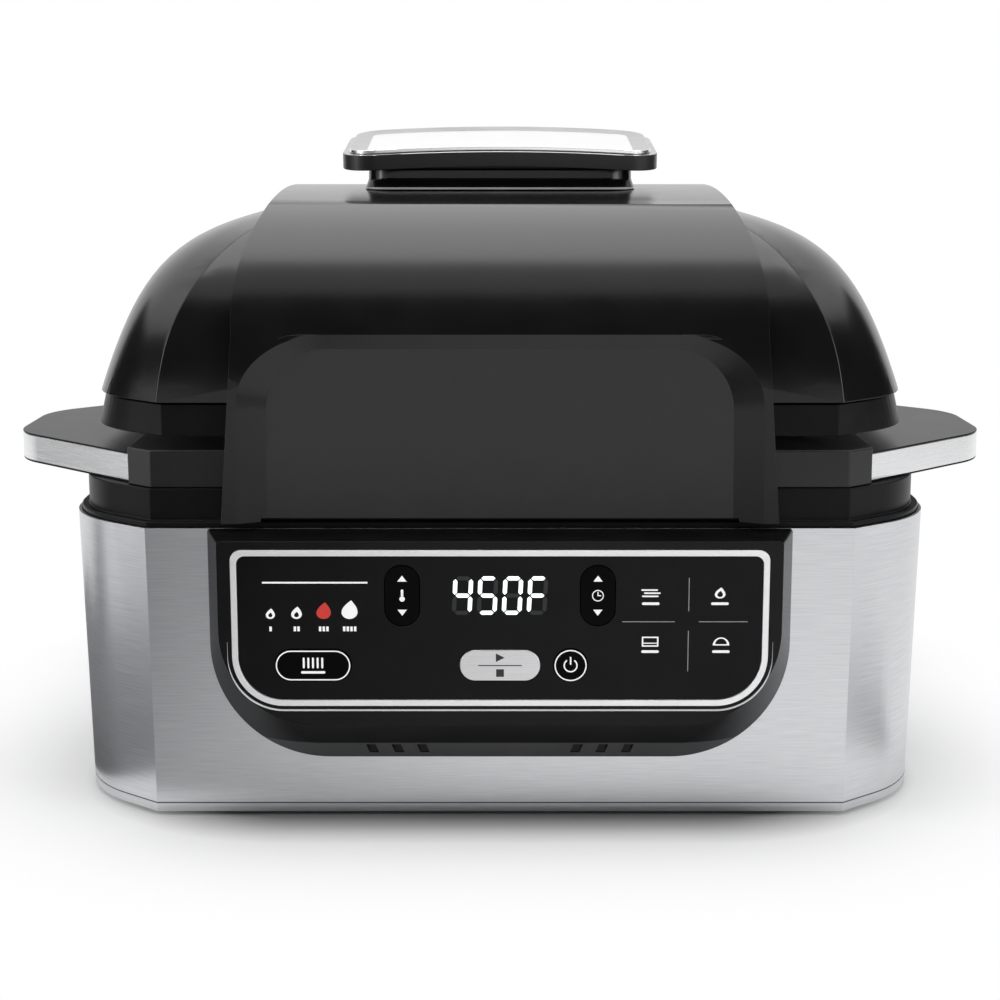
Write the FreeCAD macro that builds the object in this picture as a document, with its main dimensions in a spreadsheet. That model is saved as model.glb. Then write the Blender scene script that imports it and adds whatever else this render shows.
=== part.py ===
import FreeCAD, Part
import Sketcher
import math
import os

from FreeCAD import Placement, Rotation, Vector

# Indoor electric grill. Millimetres and degrees, +Z up, the control panel faces -Y.
# The origin lies on the table, midway between the panel's face and the rear cover.
SIZES = {
    # Base housing
    "foot_height": 1.8,
    "foot_radius": 11.0,
    "foot_spacing_x": 250.0,
    "foot_front": 112.0,
    "foot_rear": 130.0,
    "steel_top": 126.0,
    "steel_wall": 1.2,
    "hem_width": 5.0,
    "base_front": 152.0,
    "base_rear": 172.0,
    "base_half_width": 186.5,
    "facet_inset": 38.5,
    "base_draft": 2.6,
    "corner_run": 30.0,
    "corner_radius": 60.0,
    "rear_corner_radius": 45.0,
    "rear_split": 120.0,
    "tray_wall": 2.5,
    "tray_rim": 16.0,
    "cover_wall": 2.5,
    "seam_gap": 0.4,
    "screw_radius": 2.0,
    "screw_head_radius": 4.0,
    "screw_head_height": 1.4,
    "vent_half_length": 60.0,
    "vent_half_height": 2.5,
    "vent_first": 71.0,
    "vent_rise": 48.0,
    "gland_x": 103.0,
    "gland_z": 48.0,
    "gland_radius": 11.0,
    "gland_bore": 4.0,
    # Collar, deck and side handles
    "lip_height": 2.5,
    "lip_inset": 1.5,
    "collar_inset": 4.5,
    "collar_top": 142.0,
    "deck_top": 158.0,
    "deck_half_width": 157.0,
    "deck_inset": 5.5,
    "deck_rear": 145.0,
    "well_depth": 7.0,
    "handle_top": 155.0,
    "handle_projection": 33.0,
    "handle_centre": 38.0,
    "handle_grip_length": 65.0,
    "handle_thickness": 13.0,
    "handle_rounding": 38.0,
    "handle_rim": 9.0,
    "handle_skin": 4.0,
    "trim_thickness": 1.2,
    "trim_height": 11.4,
    # Cooking chamber
    "chamber_centre": 6.0,
    "pot_half_width": 104.0,
    "pot_half_depth": 104.0,
    "pot_corner": 40.0,
    "pot_floor": 44.0,
    "pot_wall": 2.0,
    "pot_flange": 9.0,
    "pot_gap": 5.0,
    "liner_wall": 1.0,
    "liner_floor": 34.0,
    "post_radius": 4.0,
    "grate_height": 62.0,
    "grate_plate": 4.0,
    "grate_ridge": 6.0,
    "grate_ridge_width": 5.0,
    "grate_pitch": 16.0,
    "grate_gap": 1.0,
    # Control panel
    "bezel_depth": 20.0,
    "bezel_half_base": 122.0,
    "bezel_half_face": 115.5,
    "bezel_bottom_base": 27.0,
    "bezel_bottom_face": 47.0,
    "bezel_corner_base": 50.0,
    "bezel_corner_face": 40.0,
    "bezel_top_corner": 1.5,
    "bezel_wall": 4.0,
    "bezel_vent_first": 55.0,
    "bezel_vent_pitch": 10.7,
    "bezel_vent_width": 3.8,
    "bezel_vent_lean": 1.25,
    "bezel_vent_low": 30.0,
    "bezel_vent_height": 5.0,
    "frame_half": 110.0,
    "frame_top": 121.0,
    "frame_bottom": 55.4,
    "frame_corner": 21.0,
    "frame_top_corner": 4.5,
    "frame_width": 2.5,
    "frame_proud": 0.5,
    "panel_recess": 2.0,
    "panel_thickness": 1.8,
    "panel_gap": 0.2,
    "window_ledge": 3.0,
    "key_row": 72.7,
    "key_height": 13.0,
    "start_width": 33.0,
    "grill_key_width": 31.0,
    "grill_key_x": 76.8,
    "power_x": 29.0,
    "power_radius": 6.8,
    "key_proud": 0.8,
    "key_gap": 0.35,
    "key_flange": 1.6,
    "key_flange_thickness": 1.4,
    "key_travel": 1.0,
    "rocker_x": 40.0,
    "rocker_width": 14.0,
    "rocker_height": 25.0,
    "display_row": 102.0,
    "rocker_ear": 3.0,
    "display_width": 42.0,
    "display_height": 18.5,
    "board_gap": 6.0,
    "board_thickness": 1.6,
    "switch_size": 6.0,
    "stand_radius": 2.0,
    "power_board_width": 41.6,
    "power_board_length": 104.0,
    "power_board_rise": 6.0,
    "power_board_inset": 34.7,
    "power_leg_radius": 2.0,
    "power_leg_margin": 5.0,
    "power_part_width": 25.0,
    "power_part_length": 20.8,
    "power_part_height": 16.0,
    # Hinge
    "hinge_y": 160.0,
    "hinge_z": 168.0,
    "pin_radius": 3.0,
    "pin_running_gap": 0.05,
    "knuckle_radius": 7.0,
    "knuckle_width": 23.0,
    "knuckle_x": 110.0,
    "lug_width": 6.0,
    "lug_gap": 0.4,
    # Lid
    "ring_bottom": 163.5,
    "ring_top": 177.0,
    "ring_front_inset": 8.0,
    "ring_side_inset": 13.0,
    "ring_facet_inset": 7.0,
    "ring_draft": 3.5,
    "lid_rear_inset": 20.0,
    "ring_wall": 3.0,
    "spigot_height": 6.0,
    "shell_bottom": 178.0,
    "shell_step": 1.5,
    "shell_top": 253.0,
    "shell_front_step": 3.0,
    "shell_wall": 3.0,
    "band_proud": 4.5,
    "band_gap": 0.4,
    "band_bottom": 129.0,
    "band_half_bottom": 116.0,
    "band_half_brow": 111.0,
    "band_half_top": 99.5,
    "band_side_bow": 90.0,
    "band_lean": 7.0,
    "band_rear": 122.0,
    "band_rear_slope": 14.0,
    "band_shoulder": 205.0,
    "brow_start": 183.5,
    "brow_radius": 100.0,
    "crown_rise": 6.0,
    "recess_depth": 5.5,
    "recess_half": 109.0,
    "recess_top": 212.0,
    "recess_corner": 38.0,
    "recess_floor_corner": 25.0,
    "recess_bevel": 12.0,
    "recess_back": 1.6,
    "window_gap": 0.6,
    # Lid interior
    "lid_liner_half": 112.0,
    "lid_liner_corner": 20.0,
    "lid_liner_top": 222.0,
    "lid_liner_wall": 1.2,
    "lid_flange_z": 165.0,
    "gasket_width": 6.0,
    "gasket_gap": 0.3,
    "shield_z": 190.0,
    "shield_half": 96.0,
    "shield_corner": 42.0,
    "shield_thickness": 1.0,
    "shield_post_radius": 3.0,
    "shield_slot_width": 8.0,
    "element_z": 200.0,
    "element_radius": 78.0,
    "element_tube": 3.4,
    "element_leg_x": 13.6,
    "fan_z": 206.0,
    "fan_radius": 60.0,
    "fan_height": 11.0,
    "fan_blade": 1.5,
    "fan_hub_radius": 11.0,
    "fan_disc": 1.5,
    "fan_blades": 10,
    "shaft_radius": 3.0,
    "motor_radius": 23.0,
    "motor_height": 24.0,
    "motor_flange": 30.0,
    "motor_screw": 1.6,
    "motor_screw_head": 3.0,
    "shaft_end_gap": 4.8,
    "probe_radius": 2.5,
    "probe_length": 40.0,
    # Lid handle
    "grip_half_width": 71.5,
    "grip_depth": 78.0,
    "grip_thickness": 9.5,
    "grip_crown": 2.6,
    "grip_corner": 16.0,
    "grip_centre": 22.0,
    "grip_tilt": 7.5,
    "plate_margin": 3.0,
    "plate_thickness": 1.6,
    "neck_half_width": 60.5,
    "neck_flare": 3.5,
    "neck_flare_height": 9.5,
    "neck_half_depth": 27.0,
    "neck_height": 17.7,
    "neck_corner": 14.0,
}

# Tangent of 22.5 degrees, the share by which a 45 degree corner moves along its edge when it is inset
EIGHTH_TURN = math.tan(math.pi / 8)

doc = FreeCAD.newDocument("IndoorGrill")
sheet = doc.addObject("Spreadsheet::Sheet", "Sizes")


class Size:
    """A number together with the spreadsheet formula that gives it."""

    def __init__(self, text, value):
        self.text = text
        self.value = value

    def combine(self, sign, other, value):
        return Size(f"({self.text} {sign} {other.text})", value)

    def __add__(self, other):
        other = as_size(other)
        return self.combine("+", other, self.value + other.value)

    def __sub__(self, other):
        other = as_size(other)
        return self.combine("-", other, self.value - other.value)

    def __mul__(self, other):
        other = as_size(other)
        return self.combine("*", other, self.value * other.value)

    def __truediv__(self, other):
        other = as_size(other)
        return self.combine("/", other, self.value / other.value)

    def __radd__(self, other):
        return as_size(other) + self

    def __rsub__(self, other):
        return as_size(other) - self

    def __rmul__(self, other):
        return as_size(other) * self

    def __neg__(self):
        return Size(f"(-1 * {self.text})", -self.value)


def root(size):
    return Size(f"sqrt({size.text})", math.sqrt(size.value))


def sine(angle):
    return Size(f"sin({angle.text} * 1 deg)", math.sin(math.radians(angle.value)))


def cosine(angle):
    return Size(f"cos({angle.text} * 1 deg)", math.cos(math.radians(angle.value)))


def as_size(item):
    return item if isinstance(item, Size) else Size(f"({item:.6f})", float(item))


class SizeSheet:
    """Gives each spreadsheet alias as a Size attribute."""

    def __init__(self, sizes):
        for row, (name, value) in enumerate(sizes.items(), start=1):
            sheet.set(f"A{row}", name)
            sheet.set(f"B{row}", str(value))
            sheet.setAlias(f"B{row}", name)
            setattr(self, name, Size(f"Sizes.{name}", float(value)))


d = SizeSheet(SIZES)
doc.recompute()
pieces = []

# Outer limits that follow from the base housing
FAR = d.base_half_width + d.base_rear
FACET_HALF = d.base_half_width - d.facet_inset
POWER_BOARD_X = d.base_half_width - d.power_board_inset
BEZEL_REACH = d.base_front + d.bezel_depth
HANDLE_REACH = d.base_half_width + d.handle_projection
RING_FRONT = d.base_front - d.ring_front_inset
RING_HALF = d.base_half_width - d.ring_side_inset
RING_FACET = FACET_HALF - d.ring_facet_inset
LID_REAR = d.base_rear - d.lid_rear_inset
SHELL_FRONT = RING_FRONT + d.shell_front_step
# Underside of the base inside the steel's hem
TRAY_FLOOR = d.foot_height + d.steel_wall
# Crown of the lid's centre band at its front crease
BAND_TOP = d.shell_top + d.band_gap + d.band_proud
# Share of a slot's half width that its round ends take
ROUND_END = 0.98
# How many vents, grate ridges and shield slots there are
VENT_COUNT = 6
GRATE_RIDGES = 11
SHIELD_SLOTS = 7
# Share of the splatter shield's half depth that its slots take
SHIELD_SLOT_SHARE = 0.7
# Room over each switch, as a share of the key's travel
SWITCH_ROOM = 1.5
# Where the motor's screws stand round its axis, in degrees
MOTOR_SCREW_TURNS = (30, 150, 270)
# The lid's dome: share of its rise, then how far its side, rear and facet have drawn in there
DOME_PROFILE = (
    (0.0, 0.0, 0.0, 0.0),
    (0.36, 10.0, 3.0, 5.0),
    (0.62, 20.0, 8.0, 14.0),
    (0.79, 31.5, 15.0, 24.0),
    (0.92, 48.0, 22.0, 36.0),
    (1.0, 66.0, 30.0, 50.0),
)


def bind(item, path, size):
    item.setExpression(path, as_size(size).text)


def new_body(label):
    body = doc.addObject("PartDesign::Body", label)
    body.Label = label
    body.Placement = Placement()
    pieces.append(body)
    return body


def new_sketch(body, plane="XY_Plane", offset=0):
    """A sketch on one of the body's origin planes, moved along the plane's normal."""
    sketch = body.newObject("Sketcher::SketchObject", body.Label + "_sketch")
    origin_plane = next(item for item in body.Origin.OriginFeatures if item.Role == plane)
    sketch.AttachmentSupport = [(origin_plane, "")]
    sketch.MapMode = "FlatFace"
    offset = as_size(offset)
    sketch.AttachmentOffset = Placement(Vector(0, 0, offset.value), Rotation())
    bind(sketch, "AttachmentOffset.Base.z", offset)
    return sketch


def tilt_sketch(sketch, angle):
    """Turns a sketch about its own horizontal axis."""
    base = sketch.AttachmentOffset.Base
    sketch.AttachmentOffset = Placement(base, Rotation(Vector(1, 0, 0), angle.value))
    bind(sketch, "AttachmentOffset.Rotation.Angle", angle)


def add_bound(sketch, kind, *arguments):
    """Adds a dimension whose last argument is a Size."""
    size = as_size(arguments[-1])
    index = sketch.addConstraint(Sketcher.Constraint(kind, *arguments[:-1], size.value))
    sketch.setExpression(f"Constraints[{index}]", size.text)


def locate(sketch, geometry, position, x, y):
    add_bound(sketch, "DistanceX", -1, 1, geometry, position, x)
    add_bound(sketch, "DistanceY", -1, 1, geometry, position, y)


def outline(sketch, corners, bows=None):
    """A closed outline through corners given as (x, y), or (x, y, radius) where a corner is rounded.

    bows gives the radius of each edge that is an arc, by the number of the corner that it starts from.
    A positive radius bulges to the right of the way the outline runs, and a negative one to the left.
    """
    bows = bows or {}
    corners = [tuple(as_size(value) for value in corner) for corner in corners]
    count = len(corners)
    points = [Vector(corner[0].value, corner[1].value, 0) for corner in corners]
    enter, leave = [], []
    for index, corner in enumerate(corners):
        back = (points[index - 1] - points[index]).normalize()
        ahead = (points[(index + 1) % count] - points[index]).normalize()
        radius = corner[2].value if len(corner) == 3 else 0.0
        reach = radius / math.tan(back.getAngle(ahead) / 2)
        enter.append(points[index] + back * reach)
        leave.append(points[index] + ahead * reach)
    edges = [add_edge(sketch, leave[i], enter[(i + 1) % count], bows.get(i)) for i in range(count)]
    for index, corner in enumerate(corners):
        (before, _, end), (after, start, _) = edges[index - 1], edges[index]
        if len(corner) == 2:
            sketch.addConstraint(Sketcher.Constraint("Coincident", before, end, after, start))
            locate(sketch, before, end, corner[0], corner[1])
            continue
        round_corner(sketch, before, after, points[index], enter[index], leave[index], corner)


def add_edge(sketch, start, end, bow):
    """Adds a straight or bowed edge and gives its number with the positions of its start and end."""
    if bow is None:
        return sketch.addGeometry(Part.LineSegment(start, end)), 1, 2
    bow = as_size(bow)
    radius = abs(bow.value)
    along = end - start
    right = Vector(along.y, -along.x, 0).normalize()
    side = 1 if bow.value > 0 else -1
    centre = (start + end) * 0.5 - right * side * math.sqrt(radius ** 2 - (along.Length / 2) ** 2)
    first, last = (start, end) if side > 0 else (end, start)
    angles = [math.atan2(point.y - centre.y, point.x - centre.x) for point in (first, last)]
    arc = sketch.addGeometry(Part.ArcOfCircle(Part.Circle(centre, Vector(0, 0, 1), radius), *angles))
    add_bound(sketch, "Radius", arc, bow if side > 0 else -bow)
    return (arc, 1, 2) if side > 0 else (arc, 2, 1)


def round_corner(sketch, before, after, vertex, enter, leave, corner):
    """Rounds one corner with an arc that is tangent to the two lines beside it."""
    radius = corner[2].value
    middle = (enter + leave) * 0.5 - vertex
    half = (enter - vertex).getAngle(leave - vertex) / 2
    centre = vertex + middle.normalize() * (radius / math.sin(half))
    turns_left = (vertex - enter).cross(leave - vertex).z > 0
    first, last = (enter, leave) if turns_left else (leave, enter)
    start = math.atan2(first.y - centre.y, first.x - centre.x)
    end = math.atan2(last.y - centre.y, last.x - centre.x)
    circle = Part.Circle(centre, Vector(0, 0, 1), radius)
    arc = sketch.addGeometry(Part.ArcOfCircle(circle, start, end))
    point = sketch.addGeometry(Part.Point(vertex), True)
    locate(sketch, point, 1, corner[0], corner[1])
    sketch.addConstraint(Sketcher.Constraint("PointOnObject", point, 1, before))
    sketch.addConstraint(Sketcher.Constraint("PointOnObject", point, 1, after))
    sketch.addConstraint(Sketcher.Constraint("Tangent", before, 2, arc, 1 if turns_left else 2))
    sketch.addConstraint(Sketcher.Constraint("Tangent", after, 1, arc, 2 if turns_left else 1))
    add_bound(sketch, "Radius", arc, corner[2])


def circle(sketch, x, y, radius):
    radius = as_size(radius)
    centre = Vector(as_size(x).value, as_size(y).value, 0)
    geometry = sketch.addGeometry(Part.Circle(centre, Vector(0, 0, 1), radius.value))
    locate(sketch, geometry, 3, x, y)
    add_bound(sketch, "Radius", geometry, radius)


def rectangle(sketch, low_x, low_y, high_x, high_y, radius=None):
    corners = [(low_x, low_y), (high_x, low_y), (high_x, high_y), (low_x, high_y)]
    outline(sketch, [corner if radius is None else corner + (radius,) for corner in corners])


def centred(sketch, x, y, half_x, half_y, radius=None):
    rectangle(sketch, x - half_x, y - half_y, x + half_x, y + half_y, radius)


def pad(body, sketch, length, reverse=False):
    feature = body.newObject("PartDesign::Pad", "Pad")
    feature.Profile = sketch
    feature.Length = as_size(length).value
    bind(feature, "Length", length)
    feature.Reversed = reverse
    return feature


def pocket(body, sketch, length=None, reverse=False):
    """Cuts against the sketch's normal, or along it when reversed; through everything without a length."""
    feature = body.newObject("PartDesign::Pocket", "Pocket")
    feature.Profile = sketch
    feature.Reversed = reverse
    if length is None:
        feature.Type = "ThroughAll"
    else:
        feature.Length = as_size(length).value
        bind(feature, "Length", length)
    return feature


def loft(body, sketches, subtract=False, ruled=True):
    kind = "PartDesign::SubtractiveLoft" if subtract else "PartDesign::AdditiveLoft"
    feature = body.newObject(kind, "Loft")
    feature.Profile = sketches[0]
    feature.Sections = sketches[1:]
    feature.Ruled = ruled
    return feature


def repeat(body, feature, plane_role, length, count):
    """Repeats a feature along the normal of one of the body's origin planes."""
    pattern = body.newObject("PartDesign::LinearPattern", "LinearPattern")
    pattern.Originals = [feature]
    axis = next(item for item in body.Origin.OriginFeatures if item.Role == plane_role)
    pattern.Direction = (axis, [""])
    pattern.Length = as_size(length).value
    bind(pattern, "Length", length)
    pattern.Occurrences = count
    body.Tip = pattern
    return pattern


def plan(sketch, facet, half, front, run, rear, front_radius, rear_radius):
    """Plan of the housing: a flat front facet, creased corners, rounded sides and a rounded rear."""
    outline(sketch, [
        (-facet, -front),
        (facet, -front),
        (half, run - front, front_radius),
        (half, rear, rear_radius),
        (-half, rear, rear_radius),
        (-half, run - front, front_radius),
    ])


def base_plan(sketch, inset):
    """The housing's plan at the steel's top edge, drawn in by an inset."""
    plan(
        sketch,
        FACET_HALF - inset * EIGHTH_TURN,
        d.base_half_width - inset,
        d.base_front - inset,
        d.corner_run,
        d.base_rear - inset,
        d.corner_radius - inset,
        d.rear_corner_radius - inset,
    )


def base_loft(body, low, high, inset, subtract=False):
    """The drafted housing between two heights, drawn in by an inset at its top edge."""
    sketches = []
    for height in (low, high):
        sketch = new_sketch(body, offset=height)
        drop = (d.steel_top - height) / (d.steel_top - d.foot_height)
        base_plan(sketch, inset + d.base_draft * drop)
        sketches.append(sketch)
    return loft(body, sketches, subtract)


def cut_box(body, low_x, low_y, high_x, high_y):
    """Removes everything inside a rectangle, all the way through the height."""
    sketch = new_sketch(body)
    rectangle(sketch, low_x, low_y, high_x, high_y)
    return pocket(body, sketch, reverse=True)


def make_base_housing():
    steel = new_body("steel_wrap")
    base_loft(steel, d.foot_height, d.steel_top, as_size(0))
    base_loft(steel, d.foot_height + d.steel_wall, d.steel_top, d.steel_wall, subtract=True)
    hem = new_sketch(steel)
    base_plan(hem, d.base_draft + d.hem_width)
    pocket(steel, hem, reverse=True)
    cut_box(steel, -FAR, d.rear_split, FAR, FAR)
    window = new_sketch(steel, "XZ_Plane", d.base_front + d.base_draft)
    bezel_outline(window, d.bezel_half_base - d.window_ledge, d.bezel_bottom_base + d.window_ledge,
                  d.steel_top - d.window_ledge, d.bezel_corner_base - d.window_ledge)
    pocket(steel, window, d.corner_run / 2)

    tray = new_body("base_tray")
    inset = d.steel_wall + d.seam_gap
    base_loft(tray, TRAY_FLOOR, TRAY_FLOOR + d.tray_rim, inset)
    base_loft(tray, TRAY_FLOOR + d.tray_wall, TRAY_FLOOR + d.tray_rim, inset + d.tray_wall, subtract=True)
    holes = new_sketch(tray)
    for x, y in foot_places():
        circle(holes, x, y, d.foot_radius / 2 + d.panel_gap / 2)
    for x, y in liner_posts():
        circle(holes, x, y, d.screw_radius)
    pocket(tray, holes, reverse=True)

    feet = []
    for x, y in foot_places():
        sole = cylinder("foot_pad", x, y, as_size(0), d.foot_radius, TRAY_FLOOR)
        stem = cylinder("foot_stem", x, y, TRAY_FLOOR, d.foot_radius / 2, d.tray_wall * 2)
        feet.append(fuse("foot", [sole, stem]))
    group("rubber_feet", feet)
    screws = []
    for x, y in liner_posts():
        head = cylinder("screw_head", x, y, TRAY_FLOOR - d.screw_head_height, d.screw_head_radius,
                        d.screw_head_height)
        shank = cylinder("screw_shank", x, y, TRAY_FLOOR, d.screw_radius - d.panel_gap / 2, d.tray_rim / 2)
        screws.append(fuse("screw", [head, shank]))
    group("tray_screws", screws)

    cover = new_body("rear_cover")
    low = d.foot_height
    base_loft(cover, low, d.steel_top, as_size(0))
    base_loft(cover, low, d.steel_top, d.cover_wall, subtract=True)
    base_loft(cover, low, TRAY_FLOOR + d.tray_rim + d.seam_gap, inset - d.panel_gap, subtract=True)
    cut_box(cover, -FAR, -FAR, FAR, d.rear_split + d.seam_gap)
    slot = new_sketch(cover, "XZ_Plane", -d.base_rear - d.base_draft)
    pill(slot, as_size(0), d.vent_first, d.vent_half_length, d.vent_half_height)
    vents = pocket(cover, slot, d.cover_wall * 4, reverse=True)
    repeat(cover, vents, "XY_Plane", d.vent_rise, VENT_COUNT)
    cord_hole = new_sketch(cover, "XZ_Plane", -d.base_rear - d.base_draft)
    circle(cord_hole, d.gland_x, d.gland_z, d.gland_radius - d.panel_gap)
    pocket(cover, cord_hole, d.cover_wall * 4, reverse=True)

    gland = new_body("cord_gland")
    flange = new_sketch(gland, "XZ_Plane", d.cover_wall + d.base_draft + d.panel_gap - d.base_rear)
    circle(flange, d.gland_x, d.gland_z, d.gland_radius + d.tray_wall)
    circle(flange, d.gland_x, d.gland_z, d.gland_bore)
    pad(gland, flange, d.tray_wall)
    throat = new_sketch(gland, "XZ_Plane", d.cover_wall + d.base_draft + d.panel_gap - d.base_rear)
    circle(throat, d.gland_x, d.gland_z, d.gland_radius - d.panel_gap * 2)
    circle(throat, d.gland_x, d.gland_z, d.gland_bore)
    pad(gland, throat, d.cover_wall + d.panel_gap, reverse=True)


def foot_places():
    half = d.foot_spacing_x / 2
    return [(x, y) for x in (-half, half) for y in (-d.foot_front, d.foot_rear)]


def cylinder(name, x, y, z, radius, height):
    item = doc.addObject("Part::Cylinder", name)
    bind(item, "Radius", radius)
    bind(item, "Height", height)
    for path, value in (("x", x), ("y", y), ("z", z)):
        bind(item, "Placement.Base." + path, value)
    return item


def fuse(name, items):
    joined = doc.addObject("Part::MultiFuse", name)
    joined.Shapes = items
    return joined


def group(label, items):
    """Identical loose pieces kept as separate solids under one name."""
    compound = doc.addObject("Part::Compound", label)
    compound.Label = label
    compound.Links = items
    compound.Placement = Placement()
    pieces.append(compound)
    return compound


def bezel_outline(sketch, half, bottom, top, corner):
    outline(sketch, [
        (-half, bottom, corner),
        (half, bottom, corner),
        (half, top, d.bezel_top_corner),
        (-half, top, d.bezel_top_corner),
    ])


def chamber_hole(sketch, growth):
    """Rounded square round the cooking pot, grown by a margin."""
    centred(sketch, as_size(0), d.chamber_centre, d.pot_half_width + growth, d.pot_half_depth + growth,
            d.pot_corner + growth)


def make_collar_and_handles():
    collar = new_body("upper_collar")
    lip = new_sketch(collar, offset=d.steel_top)
    base_plan(lip, d.lip_inset)
    chamber_hole(lip, d.pot_gap + d.liner_wall + d.panel_gap)
    pad(collar, lip, d.lip_height)
    wall = new_sketch(collar, offset=d.steel_top + d.lip_height)
    base_plan(wall, d.collar_inset)
    chamber_hole(wall, d.pot_gap + d.liner_wall + d.panel_gap)
    pad(collar, wall, d.collar_top - d.steel_top - d.lip_height)
    hollow = new_sketch(collar, offset=d.steel_top)
    base_plan(hollow, d.collar_inset + d.ring_wall)
    chamber_hole(hollow, d.pot_gap + d.liner_wall + d.panel_gap + d.ring_wall)
    pocket(collar, hollow, d.collar_top - d.steel_top - d.ring_wall, reverse=True)

    deck = new_body("deck_ring")
    slab = new_sketch(deck, offset=d.collar_top)
    base_plan(slab, d.deck_inset)
    chamber_hole(slab, d.panel_gap)
    pad(deck, slab, d.deck_top - d.collar_top)
    for sign in (-1, 1):
        cut_box(deck, sign * d.deck_half_width, -FAR, sign * FAR, FAR)
    cut_box(deck, -FAR, d.deck_rear, FAR, FAR)
    seat = new_sketch(deck, offset=d.deck_top)
    chamber_hole(seat, d.pot_flange + d.panel_gap)
    pocket(deck, seat, d.pot_wall)
    well = new_sketch(deck, offset=d.collar_top)
    chamber_hole(well, d.pot_gap + d.liner_wall + d.panel_gap)
    pocket(deck, well, d.well_depth, reverse=True)

    for side, sign in (("left", -1), ("right", 1)):
        make_handle(side, sign)


def handle_corners(sign, inset, inner=None):
    """The side handle's plan: 45 degree shoulders and a long outer edge, drawn in by an inset."""
    inner = inner or d.deck_half_width
    reach = HANDLE_REACH - inset
    half = d.handle_grip_length / 2 - inset * EIGHTH_TURN
    shoulder = reach - inner
    rounding = d.handle_rounding - inset
    middle = -d.handle_centre
    corners = [
        (inner, middle - half - shoulder),
        (reach, middle - half, rounding),
        (reach, middle + half, rounding),
        (inner, middle + half + shoulder),
    ]
    return [(sign * corner[0],) + corner[1:] for corner in corners]


def make_handle(side, sign):
    underside = d.handle_top - d.handle_thickness
    trim_low = d.handle_top - (d.handle_thickness + d.trim_height) / 2
    handle = new_body(f"handle_{side}")
    slab = new_sketch(handle, offset=underside)
    outline(slab, handle_corners(sign, d.trim_thickness))
    pad(handle, slab, d.handle_thickness)
    for low, high in ((underside, trim_low), (trim_low + d.trim_height, d.handle_top)):
        border = new_sketch(handle, offset=low)
        outline(border, handle_corners(sign, as_size(0)))
        pad(handle, border, high - low)
    scoop = new_sketch(handle, offset=underside)
    outline(scoop, handle_corners(sign, d.handle_rim, d.base_half_width - d.collar_inset))
    pocket(handle, scoop, d.handle_thickness - d.handle_skin, reverse=True)

    trim = new_body(f"handle_trim_{side}")
    strip = new_sketch(trim, offset=trim_low)
    outline(strip, handle_corners(sign, as_size(0)))
    pad(trim, strip, d.trim_height)
    inside = new_sketch(trim, offset=trim_low)
    outline(inside, handle_corners(sign, d.trim_thickness))
    pocket(trim, inside, d.trim_height, reverse=True)


def make_chamber():
    liner = new_body("chamber_liner")
    outer = new_sketch(liner, offset=d.liner_floor)
    chamber_hole(outer, d.pot_gap + d.liner_wall)
    pad(liner, outer, d.collar_top - d.liner_floor)
    inner = new_sketch(liner, offset=d.liner_floor + d.liner_wall)
    chamber_hole(inner, d.pot_gap)
    pocket(liner, inner, d.collar_top - d.liner_floor, reverse=True)
    for x, y in liner_posts():
        post = new_sketch(liner, offset=d.liner_floor)
        circle(post, x, y, d.post_radius)
        pad(liner, post, d.liner_floor - TRAY_FLOOR - d.tray_wall, reverse=True)
    bores = new_sketch(liner)
    for x, y in liner_posts():
        circle(bores, x, y, d.screw_radius)
    pocket(liner, bores, TRAY_FLOOR + d.tray_rim, reverse=True)

    pot = new_body("cooking_pot")
    outer = new_sketch(pot, offset=d.pot_floor)
    chamber_hole(outer, as_size(0))
    pad(pot, outer, d.deck_top - d.pot_floor)
    flange = new_sketch(pot, offset=d.deck_top)
    chamber_hole(flange, d.pot_flange)
    pad(pot, flange, d.pot_wall, reverse=True)
    inner = new_sketch(pot, offset=d.pot_floor + d.pot_wall)
    chamber_hole(inner, -d.pot_wall)
    pocket(pot, inner, d.deck_top, reverse=True)
    ledge = new_sketch(pot, offset=d.pot_floor + d.pot_wall)
    for x, y in liner_posts():
        circle(ledge, x, y, d.post_radius)
    pad(pot, ledge, d.grate_height - d.pot_floor - d.pot_wall)

    grate = new_body("grill_grate")
    plate = new_sketch(grate, offset=d.grate_height)
    chamber_hole(plate, -d.pot_wall - d.grate_gap)
    pad(grate, plate, d.grate_plate)
    span = d.pot_half_depth - d.pot_wall - d.pot_corner / 2
    first = -d.grate_pitch * (GRATE_RIDGES - 1) / 2
    ridge = new_sketch(grate, offset=d.grate_height + d.grate_plate)
    half_ridge = d.grate_ridge_width / 2
    rectangle(ridge, first - half_ridge, d.chamber_centre - span, first + half_ridge, d.chamber_centre + span)
    rib = pad(grate, ridge, d.grate_ridge)
    repeat(grate, rib, "YZ_Plane", -2 * first, GRATE_RIDGES)
    gap = new_sketch(grate, offset=d.grate_height)
    middle = first + d.grate_pitch / 2
    for share in (-0.5, 0.5):
        centred(gap, middle, d.chamber_centre + span * share, d.grate_pitch / 6, span / 3, d.grate_pitch / 7)
    slots = pocket(grate, gap, d.grate_plate, reverse=True)
    repeat(grate, slots, "YZ_Plane", -2 * middle, GRATE_RIDGES - 1)


def liner_posts():
    half = d.pot_half_width / 2
    return [(x, d.chamber_centre + y) for x in (-half, half) for y in (-half, half)]


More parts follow.
